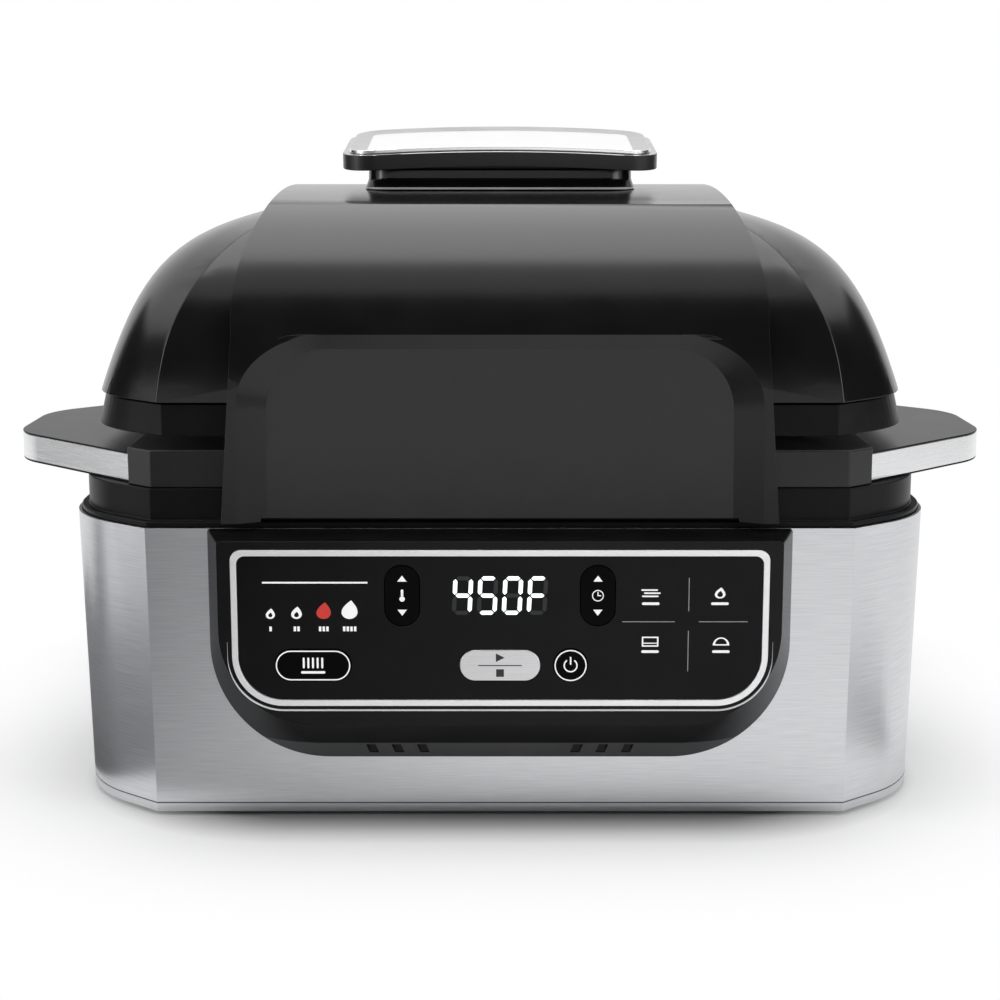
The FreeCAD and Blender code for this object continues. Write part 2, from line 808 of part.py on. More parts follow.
def make_control_panel():
    wall_back = BEZEL_REACH - d.bezel_wall
    seat = BEZEL_REACH - d.panel_recess
    bezel = new_body("control_bezel")
    base = new_sketch(bezel, "XZ_Plane", d.base_front)
    bezel_outline(base, d.bezel_half_base, d.bezel_bottom_base, d.steel_top, d.bezel_corner_base)
    face = new_sketch(bezel, "XZ_Plane", BEZEL_REACH)
    bezel_outline(face, d.bezel_half_face, d.bezel_bottom_face, d.steel_top - d.lip_inset,
                  d.bezel_corner_face)
    loft(bezel, [base, face])
    hollow = new_sketch(bezel, "XZ_Plane", wall_back)
    panel_outline(hollow, d.frame_width)
    pocket(bezel, hollow, BEZEL_REACH)
    recess = new_sketch(bezel, "XZ_Plane", BEZEL_REACH)
    panel_outline(recess, -d.panel_gap)
    pocket(bezel, recess, d.panel_recess)
    opening = new_sketch(bezel, "XZ_Plane", BEZEL_REACH)
    panel_outline(opening, d.frame_width + d.window_ledge)
    pocket(bezel, opening, d.bezel_wall)
    vent = new_sketch(bezel, "XZ_Plane", BEZEL_REACH)
    vent_high = d.bezel_vent_low + d.bezel_vent_height
    for step in range(3):
        start = d.bezel_vent_pitch * step - d.bezel_vent_first
        end = start + d.bezel_vent_width
        for sign in (-1, 1):
            outline(vent, [
                (sign * start, d.bezel_vent_low),
                (sign * end, d.bezel_vent_low),
                (sign * (end - d.bezel_vent_lean), vent_high),
                (sign * (start - d.bezel_vent_lean), vent_high),
            ])
    pocket(bezel, vent, BEZEL_REACH - d.base_front - d.tray_wall)

    frame = new_body("panel_frame")
    ring = new_sketch(frame, "XZ_Plane", seat)
    panel_outline(ring, as_size(0))
    panel_outline(ring, d.frame_width)
    pad(frame, ring, d.panel_recess + d.frame_proud)

    panel = new_body("touch_panel")
    sheet_face = new_sketch(panel, "XZ_Plane", seat)
    panel_outline(sheet_face, d.frame_width + d.panel_gap)
    pad(panel, sheet_face, d.panel_thickness)
    holes = new_sketch(panel, "XZ_Plane", seat)
    for half, x in ((d.start_width / 2, as_size(0)), (d.grill_key_width / 2, -d.grill_key_x)):
        pill(holes, x, d.key_row, half + d.key_gap, d.key_height / 2 + d.key_gap)
    circle(holes, d.power_x, d.key_row, d.power_radius + d.key_gap)
    for sign in (-1, 1):
        pill(holes, sign * d.rocker_x, d.display_row, d.rocker_width / 2 + d.key_gap,
             d.rocker_height / 2 + d.key_gap)
    pocket(panel, holes, d.panel_thickness, reverse=True)

    make_keys(seat)

    board_face = seat - d.board_gap
    display = new_body("display_module")
    block = new_sketch(display, "XZ_Plane", board_face)
    centred(block, as_size(0), d.display_row, d.display_width / 2, d.display_height / 2)
    pad(display, block, d.board_gap - d.panel_gap)

    board = new_body("control_board")
    card = new_sketch(board, "XZ_Plane", board_face)
    margin = d.window_ledge + d.frame_width
    panel_outline(card, margin)
    pad(board, card, d.board_thickness, reverse=True)
    switches = new_sketch(board, "XZ_Plane", board_face)
    for x in (as_size(0), -d.grill_key_x, d.power_x):
        centred(switches, x, d.key_row, d.switch_size / 2, d.switch_size / 2)
    for sign in (-1, 1):
        for rise in (-1, 1):
            centred(switches, sign * d.rocker_x, d.display_row + rise * d.rocker_height / 3,
                    d.switch_size / 2, d.switch_size / 2)
    pad(board, switches, d.board_gap - d.key_gap - d.key_flange_thickness - d.key_travel * SWITCH_ROOM)
    stand = new_sketch(board, "XZ_Plane", board_face)
    stand_low = ((d.grill_key_x + d.power_x) / 2, d.key_row - d.key_height / 2)
    stand_high = (d.frame_half - margin * 2, d.frame_top - margin * 2)
    for x, z in (stand_low, stand_high):
        for sign in (-1, 1):
            circle(stand, sign * x, z, d.stand_radius)
    pad(board, stand, d.board_gap)


def panel_outline(sketch, inset):
    """The control panel's outline: small upper corners and large lower ones, drawn in by an inset."""
    half = d.frame_half - inset
    low = d.frame_bottom + inset
    high = d.frame_top - inset
    top_corner = d.frame_top_corner - inset * EIGHTH_TURN
    outline(sketch, [
        (-half, low, d.frame_corner - inset),
        (half, low, d.frame_corner - inset),
        (half, high, top_corner),
        (-half, high, top_corner),
    ])


def pill(sketch, x, y, half_x, half_y):
    """A slot with fully round ends, with a hair left straight so that its outline keeps four sides."""
    short = half_x if half_x.value < half_y.value else half_y
    centred(sketch, x, y, half_x, half_y, short * ROUND_END)


def make_keys(seat):
    back = seat - d.key_gap - d.key_flange_thickness
    keys = (
        ("start_stop_button", as_size(0), d.start_width / 2),
        ("grill_button", -d.grill_key_x, d.grill_key_width / 2),
        ("power_button", d.power_x, None),
    )
    for label, x, half in keys:
        key = new_body(label)
        flange = new_sketch(key, "XZ_Plane", back)
        face = new_sketch(key, "XZ_Plane", back)
        if half is None:
            circle(flange, x, d.key_row, d.power_radius + d.key_flange)
            circle(face, x, d.key_row, d.power_radius)
        else:
            pill(flange, x, d.key_row, half + d.key_flange, d.key_height / 2 + d.key_flange)
            pill(face, x, d.key_row, half, d.key_height / 2)
        pad(key, flange, d.key_flange_thickness)
        pad(key, face, d.key_gap + d.key_flange_thickness + d.panel_thickness + d.key_proud)
    for label, sign in (("temperature_rocker", -1), ("time_rocker", 1)):
        key = new_body(label)
        face = new_sketch(key, "XZ_Plane", back)
        pill(face, sign * d.rocker_x, d.display_row, d.rocker_width / 2, d.rocker_height / 2)
        pad(key, face, d.key_gap + d.key_flange_thickness + d.panel_thickness + d.key_gap / 2)
        ears = new_sketch(key, "XZ_Plane", back)
        centred(ears, sign * d.rocker_x, d.display_row, d.rocker_width / 2 + d.rocker_ear, d.rocker_ear)
        pad(key, ears, d.key_flange_thickness)


def make_power_board():
    board = new_body("power_board")
    floor = TRAY_FLOOR + d.tray_wall
    half_x, half_y = d.power_board_width / 2, d.power_board_length / 2
    legs = new_sketch(board, offset=floor)
    for x in (-1, 1):
        for y in (-1, 1):
            circle(legs, POWER_BOARD_X + x * (half_x - d.power_leg_margin),
                   d.chamber_centre + y * (half_y - d.power_leg_margin), d.power_leg_radius)
    pad(board, legs, d.power_board_rise + d.board_thickness)
    card = new_sketch(board, offset=floor + d.power_board_rise)
    centred(card, POWER_BOARD_X, d.chamber_centre, half_x, half_y)
    pad(board, card, d.board_thickness)
    parts = new_sketch(board, offset=floor + d.power_board_rise + d.board_thickness)
    for place in (-1, 0, 1):
        centred(parts, POWER_BOARD_X, d.chamber_centre + place * d.power_board_length / 3,
                d.power_part_width / 2, d.power_part_length / 2)
    pad(board, parts, d.power_part_height)


def make_hinges():
    for side, sign in (("left", -1), ("right", 1)):
        low_lug = d.knuckle_x - d.knuckle_width / 2 - d.lug_gap - d.lug_width
        high_lug = d.knuckle_x + d.knuckle_width / 2 + d.lug_gap
        bracket = new_body(f"hinge_bracket_{side}")
        foot = new_sketch(bracket, offset=d.collar_top)
        rectangle(foot, sign * low_lug, d.hinge_y - d.knuckle_radius, sign * (high_lug + d.lug_width),
                  d.hinge_y + d.knuckle_radius)
        pad(bracket, foot, d.tray_wall)
        for start in (low_lug, high_lug):
            inner = start if sign > 0 else -start - d.lug_width
            lug = new_sketch(bracket, "YZ_Plane", inner)
            outline(lug, [
                (d.hinge_y - d.knuckle_radius, d.collar_top + d.tray_wall),
                (d.hinge_y + d.knuckle_radius, d.collar_top + d.tray_wall),
                (d.hinge_y + d.knuckle_radius, d.hinge_z + d.knuckle_radius, d.knuckle_radius * ROUND_END),
                (d.hinge_y - d.knuckle_radius, d.hinge_z + d.knuckle_radius, d.knuckle_radius * ROUND_END),
            ])
            pad(bracket, lug, d.lug_width)
        bore = new_sketch(bracket, "YZ_Plane")
        circle(bore, d.hinge_y, d.hinge_z, d.pin_radius + d.pin_running_gap / 2)
        pocket(bracket, bore, reverse=sign > 0)

        pin = new_body(f"hinge_pin_{side}")
        shaft = new_sketch(pin, "YZ_Plane", sign * low_lug)
        circle(shaft, d.hinge_y, d.hinge_z, d.pin_radius)
        pad(pin, shaft, d.knuckle_width + 2 * (d.lug_width + d.lug_gap), reverse=sign < 0)

        arm = new_body(f"hinge_arm_{side}")
        middle = sign * (d.knuckle_x - sign * d.knuckle_width / 2)
        knuckle = new_sketch(arm, "YZ_Plane", middle)
        circle(knuckle, d.hinge_y, d.hinge_z, d.knuckle_radius)
        pad(arm, knuckle, d.knuckle_width)
        web = new_sketch(arm, "YZ_Plane", middle)
        rectangle(web, LID_REAR, d.hinge_z - d.knuckle_radius, d.hinge_y, d.hinge_z + d.knuckle_radius)
        pad(arm, web, d.knuckle_width)
        bore = new_sketch(arm, "YZ_Plane")
        circle(bore, d.hinge_y, d.hinge_z, d.pin_radius + d.pin_running_gap)
        pocket(arm, bore, reverse=sign > 0)


def front_reach(height, offset):
    """How far in front of the origin the lid's leaning front is at a height, offset from the shell."""
    return SHELL_FRONT + offset - (height - d.shell_bottom) * sine(d.band_lean) / cosine(d.band_lean)


def brow_centre():
    """Centre of the arc that carries the lid's front over into its crown, as (reach, height)."""
    outer = front_reach(d.brow_start, d.band_gap + d.band_proud)
    return outer - d.brow_radius * cosine(d.band_lean), d.brow_start - d.brow_radius * sine(d.band_lean)


def brow_reach(height, offset):
    """How far in front of the origin the brow's arc is at a height, offset from the shell."""
    reach, level = brow_centre()
    radius = d.brow_radius - d.band_gap - d.band_proud + offset
    rise = height - level
    return reach + root(radius * radius - rise * rise)


def dome_sections():
    """Heights up the lid's dome with how far its side, rear and facet have drawn in there."""
    rise = d.shell_top - d.shell_bottom
    return [(d.shell_bottom + rise * share, *drawn_in) for share, *drawn_in in DOME_PROFILE]


def dome_loft(body, inset, subtract=False):
    """The lid's dome, drawn in by an inset at its sides and lowered by it at its crown."""
    sketches = []
    rise = d.shell_top - d.shell_bottom
    for height, side, rear, facet in dome_sections():
        level = height - inset * (height - d.shell_bottom) / rise
        if height.value <= d.brow_start.value:
            front = front_reach(height, as_size(0))
        else:
            front = brow_reach(height, as_size(0))
        sketch = new_sketch(body, offset=level)
        plan(
            sketch,
            RING_FACET + d.shell_step - facet - inset * EIGHTH_TURN,
            RING_HALF + d.shell_step - side - inset,
            front - inset,
            d.corner_run,
            LID_REAR - rear - inset,
            d.corner_radius - inset,
            d.rear_corner_radius - inset,
        )
        sketches.append(sketch)
    return loft(body, sketches, subtract, ruled=False)


def make_lid():
    shell = new_body("lid_shell")
    dome_loft(shell, as_size(0))
    dome_loft(shell, d.shell_wall, subtract=True)
    window = new_sketch(shell, "XZ_Plane", SHELL_FRONT + d.shell_step)
    boss_half, boss_top = boss_size()
    outline(window, [
        (-boss_half - d.window_gap, d.ring_top),
        (boss_half + d.window_gap, d.ring_top),
        (boss_half + d.window_gap, boss_top + d.window_gap, d.recess_corner / 2),
        (-boss_half - d.window_gap, boss_top + d.window_gap, d.recess_corner / 2),
    ])
    pocket(shell, window, d.recess_bevel)

    ring = new_body("lid_ring")
    rim = new_sketch(ring, offset=d.ring_bottom)
    ring_plan(rim, as_size(0), d.ring_draft)
    brim = new_sketch(ring, offset=d.ring_top)
    ring_plan(brim, as_size(0))
    loft(ring, [rim, brim])
    mouth = new_sketch(ring, offset=d.ring_bottom)
    liner_plan(mouth, d.lid_liner_wall + d.panel_gap)
    pocket(ring, mouth, reverse=True)
    spigot = new_sketch(ring, offset=d.ring_top)
    ring_plan(spigot, d.shell_wall + d.ring_wall)
    ring_plan(spigot, d.shell_wall + d.ring_wall * 2)
    pad(ring, spigot, d.spigot_height)
    rest = new_sketch(ring, offset=d.ring_top)
    ring_plan(rest, d.ring_wall)
    ring_plan(rest, d.ring_wall * 3)
    pad(ring, rest, d.shell_bottom - d.ring_top)
    relief = new_sketch(ring, offset=d.ring_bottom)
    liner_plan(relief, d.pot_flange + d.panel_gap)
    pocket(ring, relief, d.lid_flange_z + d.lid_liner_wall - d.ring_bottom, reverse=True)
    hollow = new_sketch(ring, offset=d.ring_top + d.spigot_height)
    ring_plan(hollow, d.shell_wall + d.ring_wall * 3)
    liner_plan(hollow, d.lid_liner_wall + d.panel_gap + d.ring_wall)
    pocket(ring, hollow, d.ring_top + d.spigot_height - d.lid_flange_z - d.lid_liner_wall - d.ring_wall)

    liner = new_body("lid_liner")
    block = new_sketch(liner, offset=d.lid_flange_z)
    liner_plan(block, as_size(0))
    pad(liner, block, d.lid_liner_top - d.lid_flange_z)
    flange = new_sketch(liner, offset=d.lid_flange_z)
    liner_plan(flange, d.pot_flange)
    pad(liner, flange, d.lid_liner_wall)
    hollow = new_sketch(liner, offset=d.lid_flange_z)
    liner_plan(hollow, -d.lid_liner_wall)
    pocket(liner, hollow, d.lid_liner_top - d.lid_flange_z - d.lid_liner_wall, reverse=True)
    shaft_hole = new_sketch(liner, offset=d.lid_flange_z)
    circle(shaft_hole, as_size(0), d.chamber_centre, d.shaft_radius * 2)
    pocket(liner, shaft_hole, reverse=True)

    gasket = new_body("lid_gasket")
    seal = new_sketch(gasket, offset=d.deck_top + d.gasket_gap)
    liner_plan(seal, d.pot_flange)
    liner_plan(seal, d.pot_flange - d.gasket_width)
    pad(gasket, seal, d.lid_flange_z - d.deck_top - d.gasket_gap)


def ring_plan(sketch, inset, flare=0):
    """The lid ring's plan, drawn in by an inset all round and flared at its sides."""
    plan(sketch, RING_FACET - inset * EIGHTH_TURN, RING_HALF - inset + flare, RING_FRONT - inset,
         d.corner_run, LID_REAR - inset, d.corner_radius - inset, d.rear_corner_radius - inset)


def liner_plan(sketch, growth):
    centred(sketch, as_size(0), d.chamber_centre, d.lid_liner_half + growth, d.lid_liner_half + growth,
            d.lid_liner_corner + growth)


def boss_size():
    """Half width and top of the moulding behind the recessed panel."""
    margin = d.recess_depth
    return d.recess_half - d.recess_bevel + margin, d.recess_top - d.recess_bevel + margin


def leaning_sketch(body, depth):
    """A sketch on a plane parallel to the band's leaning front, at a depth behind it."""
    slope = cosine(d.band_lean)
    offset = front_reach(as_size(0), d.band_gap + d.band_proud) - depth / slope
    sketch = new_sketch(body, "XZ_Plane", offset)
    tilt_sketch(sketch, -d.band_lean)
    return sketch


def arch(sketch, half, top, corner):
    """An outline that is open below the band's edge: straight sides and rounded upper corners."""
    bottom = d.band_bottom - d.recess_bevel
    slope = cosine(d.band_lean)
    outline(sketch, [
        (-half, bottom / slope),
        (half, bottom / slope),
        (half, top / slope, corner),
        (-half, top / slope, corner),
    ])


def crown_arc():
    """The shallow arc of the band's crown: where it starts and ends along Y, and its radius."""
    front = -brow_reach(BAND_TOP, d.band_gap + d.band_proud)
    rear = d.band_rear - d.band_rear_slope
    half_span = (rear - front) / 2
    return front, rear, (half_span * half_span + d.crown_rise * d.crown_rise) / (2 * d.crown_rise)


def make_lid_band():
    """The centre band: a strip from the front skirt over the crown, with a recessed front panel."""
    band = new_body("lid_band")
    profile = new_sketch(band, "YZ_Plane", -d.band_half_bottom)
    inner, outer = d.band_gap, d.band_gap + d.band_proud
    low, high = d.shell_top + inner, BAND_TOP
    inner_radius = d.brow_radius - d.band_proud
    crown_front, crown_rear, crown = crown_arc()
    outline(profile, [
        (-front_reach(d.band_bottom, outer), d.band_bottom),
        (-front_reach(d.band_bottom, inner), d.band_bottom),
        (-front_reach(d.brow_start, inner), d.brow_start),
        (-brow_reach(low, inner), low),
        (d.band_rear, low),
        (crown_rear, high),
        (crown_front, high),
        (-front_reach(d.brow_start, outer), d.brow_start),
    ], {2: -inner_radius, 5: crown, 6: d.brow_radius})
    pad(band, profile, d.band_half_bottom * 2)

    depth = d.recess_depth + d.recess_back
    boss = leaning_sketch(band, depth)
    boss_half, boss_top = boss_size()
    slope = cosine(d.band_lean)
    outline(boss, [
        (-boss_half, d.band_bottom / slope + d.window_gap * 2),
        (boss_half, d.band_bottom / slope + d.window_gap * 2),
        (boss_half, boss_top / slope, d.recess_corner / 2),
        (-boss_half, boss_top / slope, d.recess_corner / 2),
    ])
    pad(band, boss, depth - d.band_proud / 2)

    floor = leaning_sketch(band, d.recess_depth)
    arch(floor, d.recess_half - d.recess_bevel, d.recess_top - d.recess_bevel, d.recess_floor_corner)
    growth = d.window_gap * d.recess_bevel / d.recess_depth
    mouth = leaning_sketch(band, -d.window_gap)
    arch(mouth, d.recess_half + growth, d.recess_top + growth, d.recess_corner)
    loft(band, [floor, mouth], subtract=True)

    sides = new_sketch(band, "XZ_Plane", BEZEL_REACH)
    far = d.band_half_bottom + d.recess_bevel
    above = high + d.crown_rise + d.recess_bevel
    below = d.band_bottom - d.recess_bevel
    for sign in (-1, 1):
        outline(sides, [
            (sign * d.band_half_bottom, below),
            (sign * far, below),
            (sign * far, above),
            (sign * d.band_half_top, above),
            (sign * d.band_half_top, high),
            (sign * d.band_half_brow, d.band_shoulder),
        ], {4: -sign * d.band_side_bow})
    pocket(band, sides)


def make_lid_handle():
    neck = new_body("handle_neck")
    flared = d.neck_half_width + d.neck_flare
    waist_height = BAND_TOP + d.neck_flare_height
    bottom = new_sketch(neck, offset=BAND_TOP)
    centred(bottom, as_size(0), -d.grip_centre, flared, d.neck_half_depth + d.neck_flare, d.neck_corner)
    waist = new_sketch(neck, offset=waist_height)
    centred(waist, as_size(0), -d.grip_centre, d.neck_half_width, d.neck_half_depth, d.neck_corner)
    loft(neck, [bottom, waist])
    foot = new_sketch(neck, offset=waist_height)
    centred(foot, as_size(0), -d.grip_centre, d.neck_half_width, d.neck_half_depth, d.neck_corner)
    top = new_sketch(neck, offset=BAND_TOP + d.neck_height)
    centred(top, as_size(0), as_size(0), d.neck_half_width, d.neck_half_depth, d.neck_corner)
    tilt_sketch(top, d.grip_tilt)
    bind(top, "AttachmentOffset.Base.y", -d.grip_centre)
    loft(neck, [foot, top])
    saddle = new_sketch(neck, "YZ_Plane", -FAR)
    front, rear, crown = crown_arc()
    under = d.brow_start
    outline(saddle, [(front, under), (rear, under), (rear, BAND_TOP), (front, BAND_TOP)], {2: crown})
    pocket(neck, saddle, reverse=True)

    bow = (d.grip_half_width * d.grip_half_width + d.grip_crown * d.grip_crown) / (2 * d.grip_crown)
    edge = d.grip_thickness - d.grip_crown
    grip = new_body("handle_grip")
    bar = new_sketch(grip, "XZ_Plane", d.grip_depth / 2)
    half = d.grip_half_width
    outline(bar, [(-half, as_size(0)), (half, as_size(0)), (half, edge), (-half, edge)], {0: -bow, 2: bow})
    pad(grip, bar, d.grip_depth, reverse=True)
    trim_plan(grip, half, d.grip_depth / 2, d.grip_corner)
    seat = new_sketch(grip)
    centred(seat, as_size(0), as_size(0), d.neck_half_width, d.neck_half_depth, d.neck_corner)
    pad(grip, seat, d.grip_thickness / 2)

    plate = new_body("handle_plate")
    cap = new_sketch(plate, "XZ_Plane", d.grip_depth / 2)
    low = edge + d.panel_gap
    high = low + d.plate_thickness
    outline(cap, [(-half, low), (half, low), (half, high), (-half, high)], {0: -bow, 2: bow})
    pad(plate, cap, d.grip_depth, reverse=True)
    trim_plan(plate, half - d.plate_margin, d.grip_depth / 2 - d.plate_margin, d.grip_corner - d.plate_margin)
    for piece in (grip, plate):
        bind(piece, "Placement.Base.y", -d.grip_centre)
        bind(piece, "Placement.Base.z", BAND_TOP + d.neck_height)
        piece.Placement = Placement(Vector(), Rotation(Vector(1, 0, 0), d.grip_tilt.value))
        bind(piece, "Placement.Rotation.Angle", d.grip_tilt)


def trim_plan(body, half_x, half_y, corner):
    """Trims a bar to a rounded rectangle seen from above."""
    sketch = new_sketch(body)
    centred(sketch, as_size(0), as_size(0), half_x + d.grip_corner, half_y + d.grip_corner)
    centred(sketch, as_size(0), as_size(0), half_x, half_y, corner)
    pocket(body, sketch, reverse=True)


def make_lid_interior():
    roof = d.lid_liner_top - d.lid_liner_wall
    shield = new_body("splatter_shield")
    plate = new_sketch(shield, offset=d.shield_z)
    centred(plate, as_size(0), d.chamber_centre, d.shield_half, d.shield_half, d.shield_corner)
    pad(shield, plate, d.shield_thickness)
    posts = new_sketch(shield, offset=d.shield_z)
    post = d.shield_half - d.shield_corner / 3
    for x in (-1, 1):
        for y in (-1, 1):
            circle(posts, x * post, d.chamber_centre + y * post, d.shield_post_radius)
    pad(shield, posts, roof - d.shield_z)
    hole = new_sketch(shield, offset=d.shield_z)
    first = d.shield_corner - d.shield_half
    pill(hole, first, d.chamber_centre, d.shield_slot_width / 2, d.shield_half * SHIELD_SLOT_SHARE)
    slots = pocket(shield, hole, d.shield_thickness, reverse=True)
    repeat(shield, slots, "YZ_Plane", -2 * first, SHIELD_SLOTS)

    ring = doc.addObject("Part::Torus", "element_ring")
    bind(ring, "Radius1", d.element_radius)
    bind(ring, "Radius2", d.element_tube)
    bind(ring, "Placement.Base.y", d.chamber_centre)
    bind(ring, "Placement.Base.z", d.element_z)
    legs = []
    leg_y = root(d.element_radius * d.element_radius - d.element_leg_x * d.element_leg_x)
    for sign in (-1, 1):
        legs.append(cylinder("element_leg", sign * d.element_leg_x, d.chamber_centre + leg_y, d.element_z,
                             d.element_tube - d.panel_gap, roof - d.element_z))
    element = fuse("heating_element", [ring] + legs)
    element.Label = "heating_element"
    pieces.append(element)

    probe = cylinder("temperature_probe", -d.lid_liner_half + d.probe_radius * 3, d.chamber_centre,
                     roof - d.probe_length, d.probe_radius, d.probe_length)
    probe.Label = "temperature_probe"
    pieces.append(probe)

    motor = new_body("fan_motor")
    can = new_sketch(motor, offset=d.lid_liner_top)
    circle(can, as_size(0), d.chamber_centre, d.motor_radius)
    circle(can, as_size(0), d.chamber_centre, d.shaft_radius + d.pin_running_gap)
    pad(motor, can, d.motor_height)
    flange = new_sketch(motor, offset=d.lid_liner_top)
    circle(flange, as_size(0), d.chamber_centre, d.motor_flange)
    circle(flange, as_size(0), d.chamber_centre, d.motor_radius - d.shaft_radius)
    screw_reach = (d.motor_flange + d.motor_radius) / 2
    places = [(screw_reach * math.cos(angle), d.chamber_centre + screw_reach * math.sin(angle))
              for angle in (math.radians(turn) for turn in MOTOR_SCREW_TURNS)]
    for x, y in places:
        circle(flange, x, y, d.motor_screw + d.pin_running_gap)
    pad(motor, flange, d.shaft_radius)
    screws = []
    for x, y in places:
        shank = cylinder("screw_shank", x, y, d.lid_liner_top, d.motor_screw, d.shaft_radius)
        head = cylinder("screw_head", x, y, d.lid_liner_top + d.shaft_radius, d.motor_screw_head,
                        d.motor_screw)
        screws.append(fuse("screw", [shank, head]))
    group("motor_screws", screws)


def make_fan():
    low = d.fan_z - d.fan_hub_radius / 2
    high = d.lid_liner_top + d.motor_height - d.shaft_end_gap
    shaft = cylinder("motor_shaft", as_size(0), d.chamber_centre, low, d.shaft_radius, high - low)
    shaft.Label = "motor_shaft"
    pieces.append(shaft)

    bore = d.shaft_radius + d.pin_running_gap / 2
    fan = new_body("convection_fan")
    hub = new_sketch(fan, offset=d.fan_z)
    circle(hub, as_size(0), as_size(0), d.fan_hub_radius)
    circle(hub, as_size(0), as_size(0), bore)
    pad(fan, hub, d.fan_height)
    disc = new_sketch(fan, offset=d.fan_z + d.fan_height - d.fan_disc)
    circle(disc, as_size(0), as_size(0), d.fan_radius)
    circle(disc, as_size(0), as_size(0), d.fan_hub_radius - d.fan_blade)
    pad(fan, disc, d.fan_disc)
    blade = new_sketch(fan, offset=d.fan_z)
    root_radius, tip_radius = d.fan_hub_radius - d.fan_blade, d.fan_radius - d.fan_blade
    rectangle(blade, root_radius, -d.fan_blade / 2, tip_radius, d.fan_blade / 2)
    vane = pad(fan, blade, d.fan_height - d.fan_disc / 2)
    pattern = fan.newObject("PartDesign::PolarPattern", "PolarPattern")
    pattern.Originals = [vane]
    pattern.Axis = (hub, ["N_Axis"])
    pattern.Angle = 360
    pattern.Occurrences = SIZES["fan_blades"]
    fan.Tip = pattern
    bind(fan, "Placement.Base.y", d.chamber_centre)

    nut = new_body("fan_nut")
    hexagon = new_sketch(nut, offset=d.fan_z)
    across = d.shaft_radius * 2
    sides = [math.radians(60 * turn) for turn in range(6)]
    outline(hexagon, [(across * math.cos(angle), across * math.sin(angle)) for angle in sides])
    circle(hexagon, as_size(0), as_size(0), bore)
    pad(nut, hexagon, d.shaft_radius, reverse=True)
    bind(nut, "Placement.Base.y", d.chamber_centre)


make_base_housing()
make_collar_and_handles()
make_chamber()
make_control_panel()
make_power_board()
make_hinges()
make_lid()
make_lid_band()
make_lid_handle()
make_lid_interior()
make_fan()

doc.recompute()
faults = [item.Label for item in doc.Objects if "Invalid" in item.State or "Error" in item.State]
for piece in pieces:
    if piece.Shape.isNull() or not piece.Shape.isValid():
        faults.append(piece.Label)
if faults:
    raise RuntimeError("Not built: " + ", ".join(faults))

os.makedirs("parts", exist_ok=True)
for piece in pieces:
    piece.Shape.exportStep(os.path.join("parts", piece.Label + ".step"))
    box = piece.Shape.optimalBoundingBox(False)
    print(f"{piece.Label:22s} solids {len(piece.Shape.Solids)} volume {piece.Shape.Volume:10.0f}",
          [round(value, 1) for value in (box.XMin, box.YMin, box.ZMin, box.XMax, box.YMax, box.ZMax)])
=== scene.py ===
import math

import bmesh
import bpy
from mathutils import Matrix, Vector


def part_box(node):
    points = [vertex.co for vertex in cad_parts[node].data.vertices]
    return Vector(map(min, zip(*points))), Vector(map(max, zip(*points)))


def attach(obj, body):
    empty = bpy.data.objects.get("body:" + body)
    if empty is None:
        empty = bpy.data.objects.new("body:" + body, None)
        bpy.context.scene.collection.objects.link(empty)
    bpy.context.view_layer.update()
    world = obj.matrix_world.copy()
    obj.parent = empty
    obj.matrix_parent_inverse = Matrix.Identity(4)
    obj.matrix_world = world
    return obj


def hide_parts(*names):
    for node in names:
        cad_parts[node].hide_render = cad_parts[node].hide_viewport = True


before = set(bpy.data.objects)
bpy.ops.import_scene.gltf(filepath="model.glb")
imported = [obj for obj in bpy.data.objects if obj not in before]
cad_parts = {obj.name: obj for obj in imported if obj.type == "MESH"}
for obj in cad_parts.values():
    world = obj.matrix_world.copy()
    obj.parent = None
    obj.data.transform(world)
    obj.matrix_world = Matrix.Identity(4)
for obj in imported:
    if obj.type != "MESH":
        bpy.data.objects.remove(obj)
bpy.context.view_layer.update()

MM = 0.001
scene = bpy.context.scene

# Camera in front of the panel, a little above the lid, looking slightly down
CAMERA_DISTANCE = 948 * MM
CAMERA_HEIGHT = 285 * MM
CAMERA_PITCH = 10.46
FOCAL_PIXELS = 1950
IMAGE_PIXELS = 1000
SENSOR = 36.0

# Edges: the least turn that stays sharp and is rounded, the weld of a mesh's points, and what counts as flat
SEAM_ANGLE = math.radians(16)
WELD = 0.002 * MM
FLAT_ANGLE = math.radians(0.5)
EDGE_SEGMENTS = 3

# Lid front and lid handle: how far each leans back, and how nearly a face has to match that
LID_LEAN = 7.0
GRIP_TILT = 7.5
FACING = 0.9995
CROWNED = 0.985

# Finishes and painted light that change within a piece: the bezel's underside, coloured lighter as a painted
# reflection of the floor, and the steel's hem, with a dark band of painted shade for a groove, by their
# heights over the table, the lid's recess by its depth, and the dish in the lid handle's plate
BEZEL_CREASE = 36.0 * MM
BEZEL_UNDER = -0.2
# Heights of a dark band round the steel's hem: painted shade standing in for a groove
HEM_SHADE_HEIGHTS = (5.4 * MM, 6.0 * MM)
RECESS_LEAST = 4 * MM
DISH_RIM = 8 * MM
DISH_DEPTH = 1.1 * MM

# Printing on the control panel. Places and sizes are in millimetres, x to the right and rows over the table.
INK_THICKNESS = 0.06 * MM
READOUT = "450F"
READOUT_ROW = 102.0
KEY_ROW = 72.7
GRILL_KEY_X = -76.8
POWER_KEY_X = 29.0
ROCKERS = (("temperature", "temperature_key", -40.0), ("time", "time_key", 40.0))
HEADING_RULE = (-75.6, 107.4, 21.5, 0.35)
# The flames: x and height of each, and which one is red
FLAMES = ((-94.0, 4.4), (-83.3, 5.2), (-72.2, 7.0), (-61.6, 7.8))
RED_FLAME = 3
FLAME_ROW = 92.2
FLAME_HEART_ROW = 92.9
LEVEL_ROW = 88.0
LEVEL_PITCH = 1.5
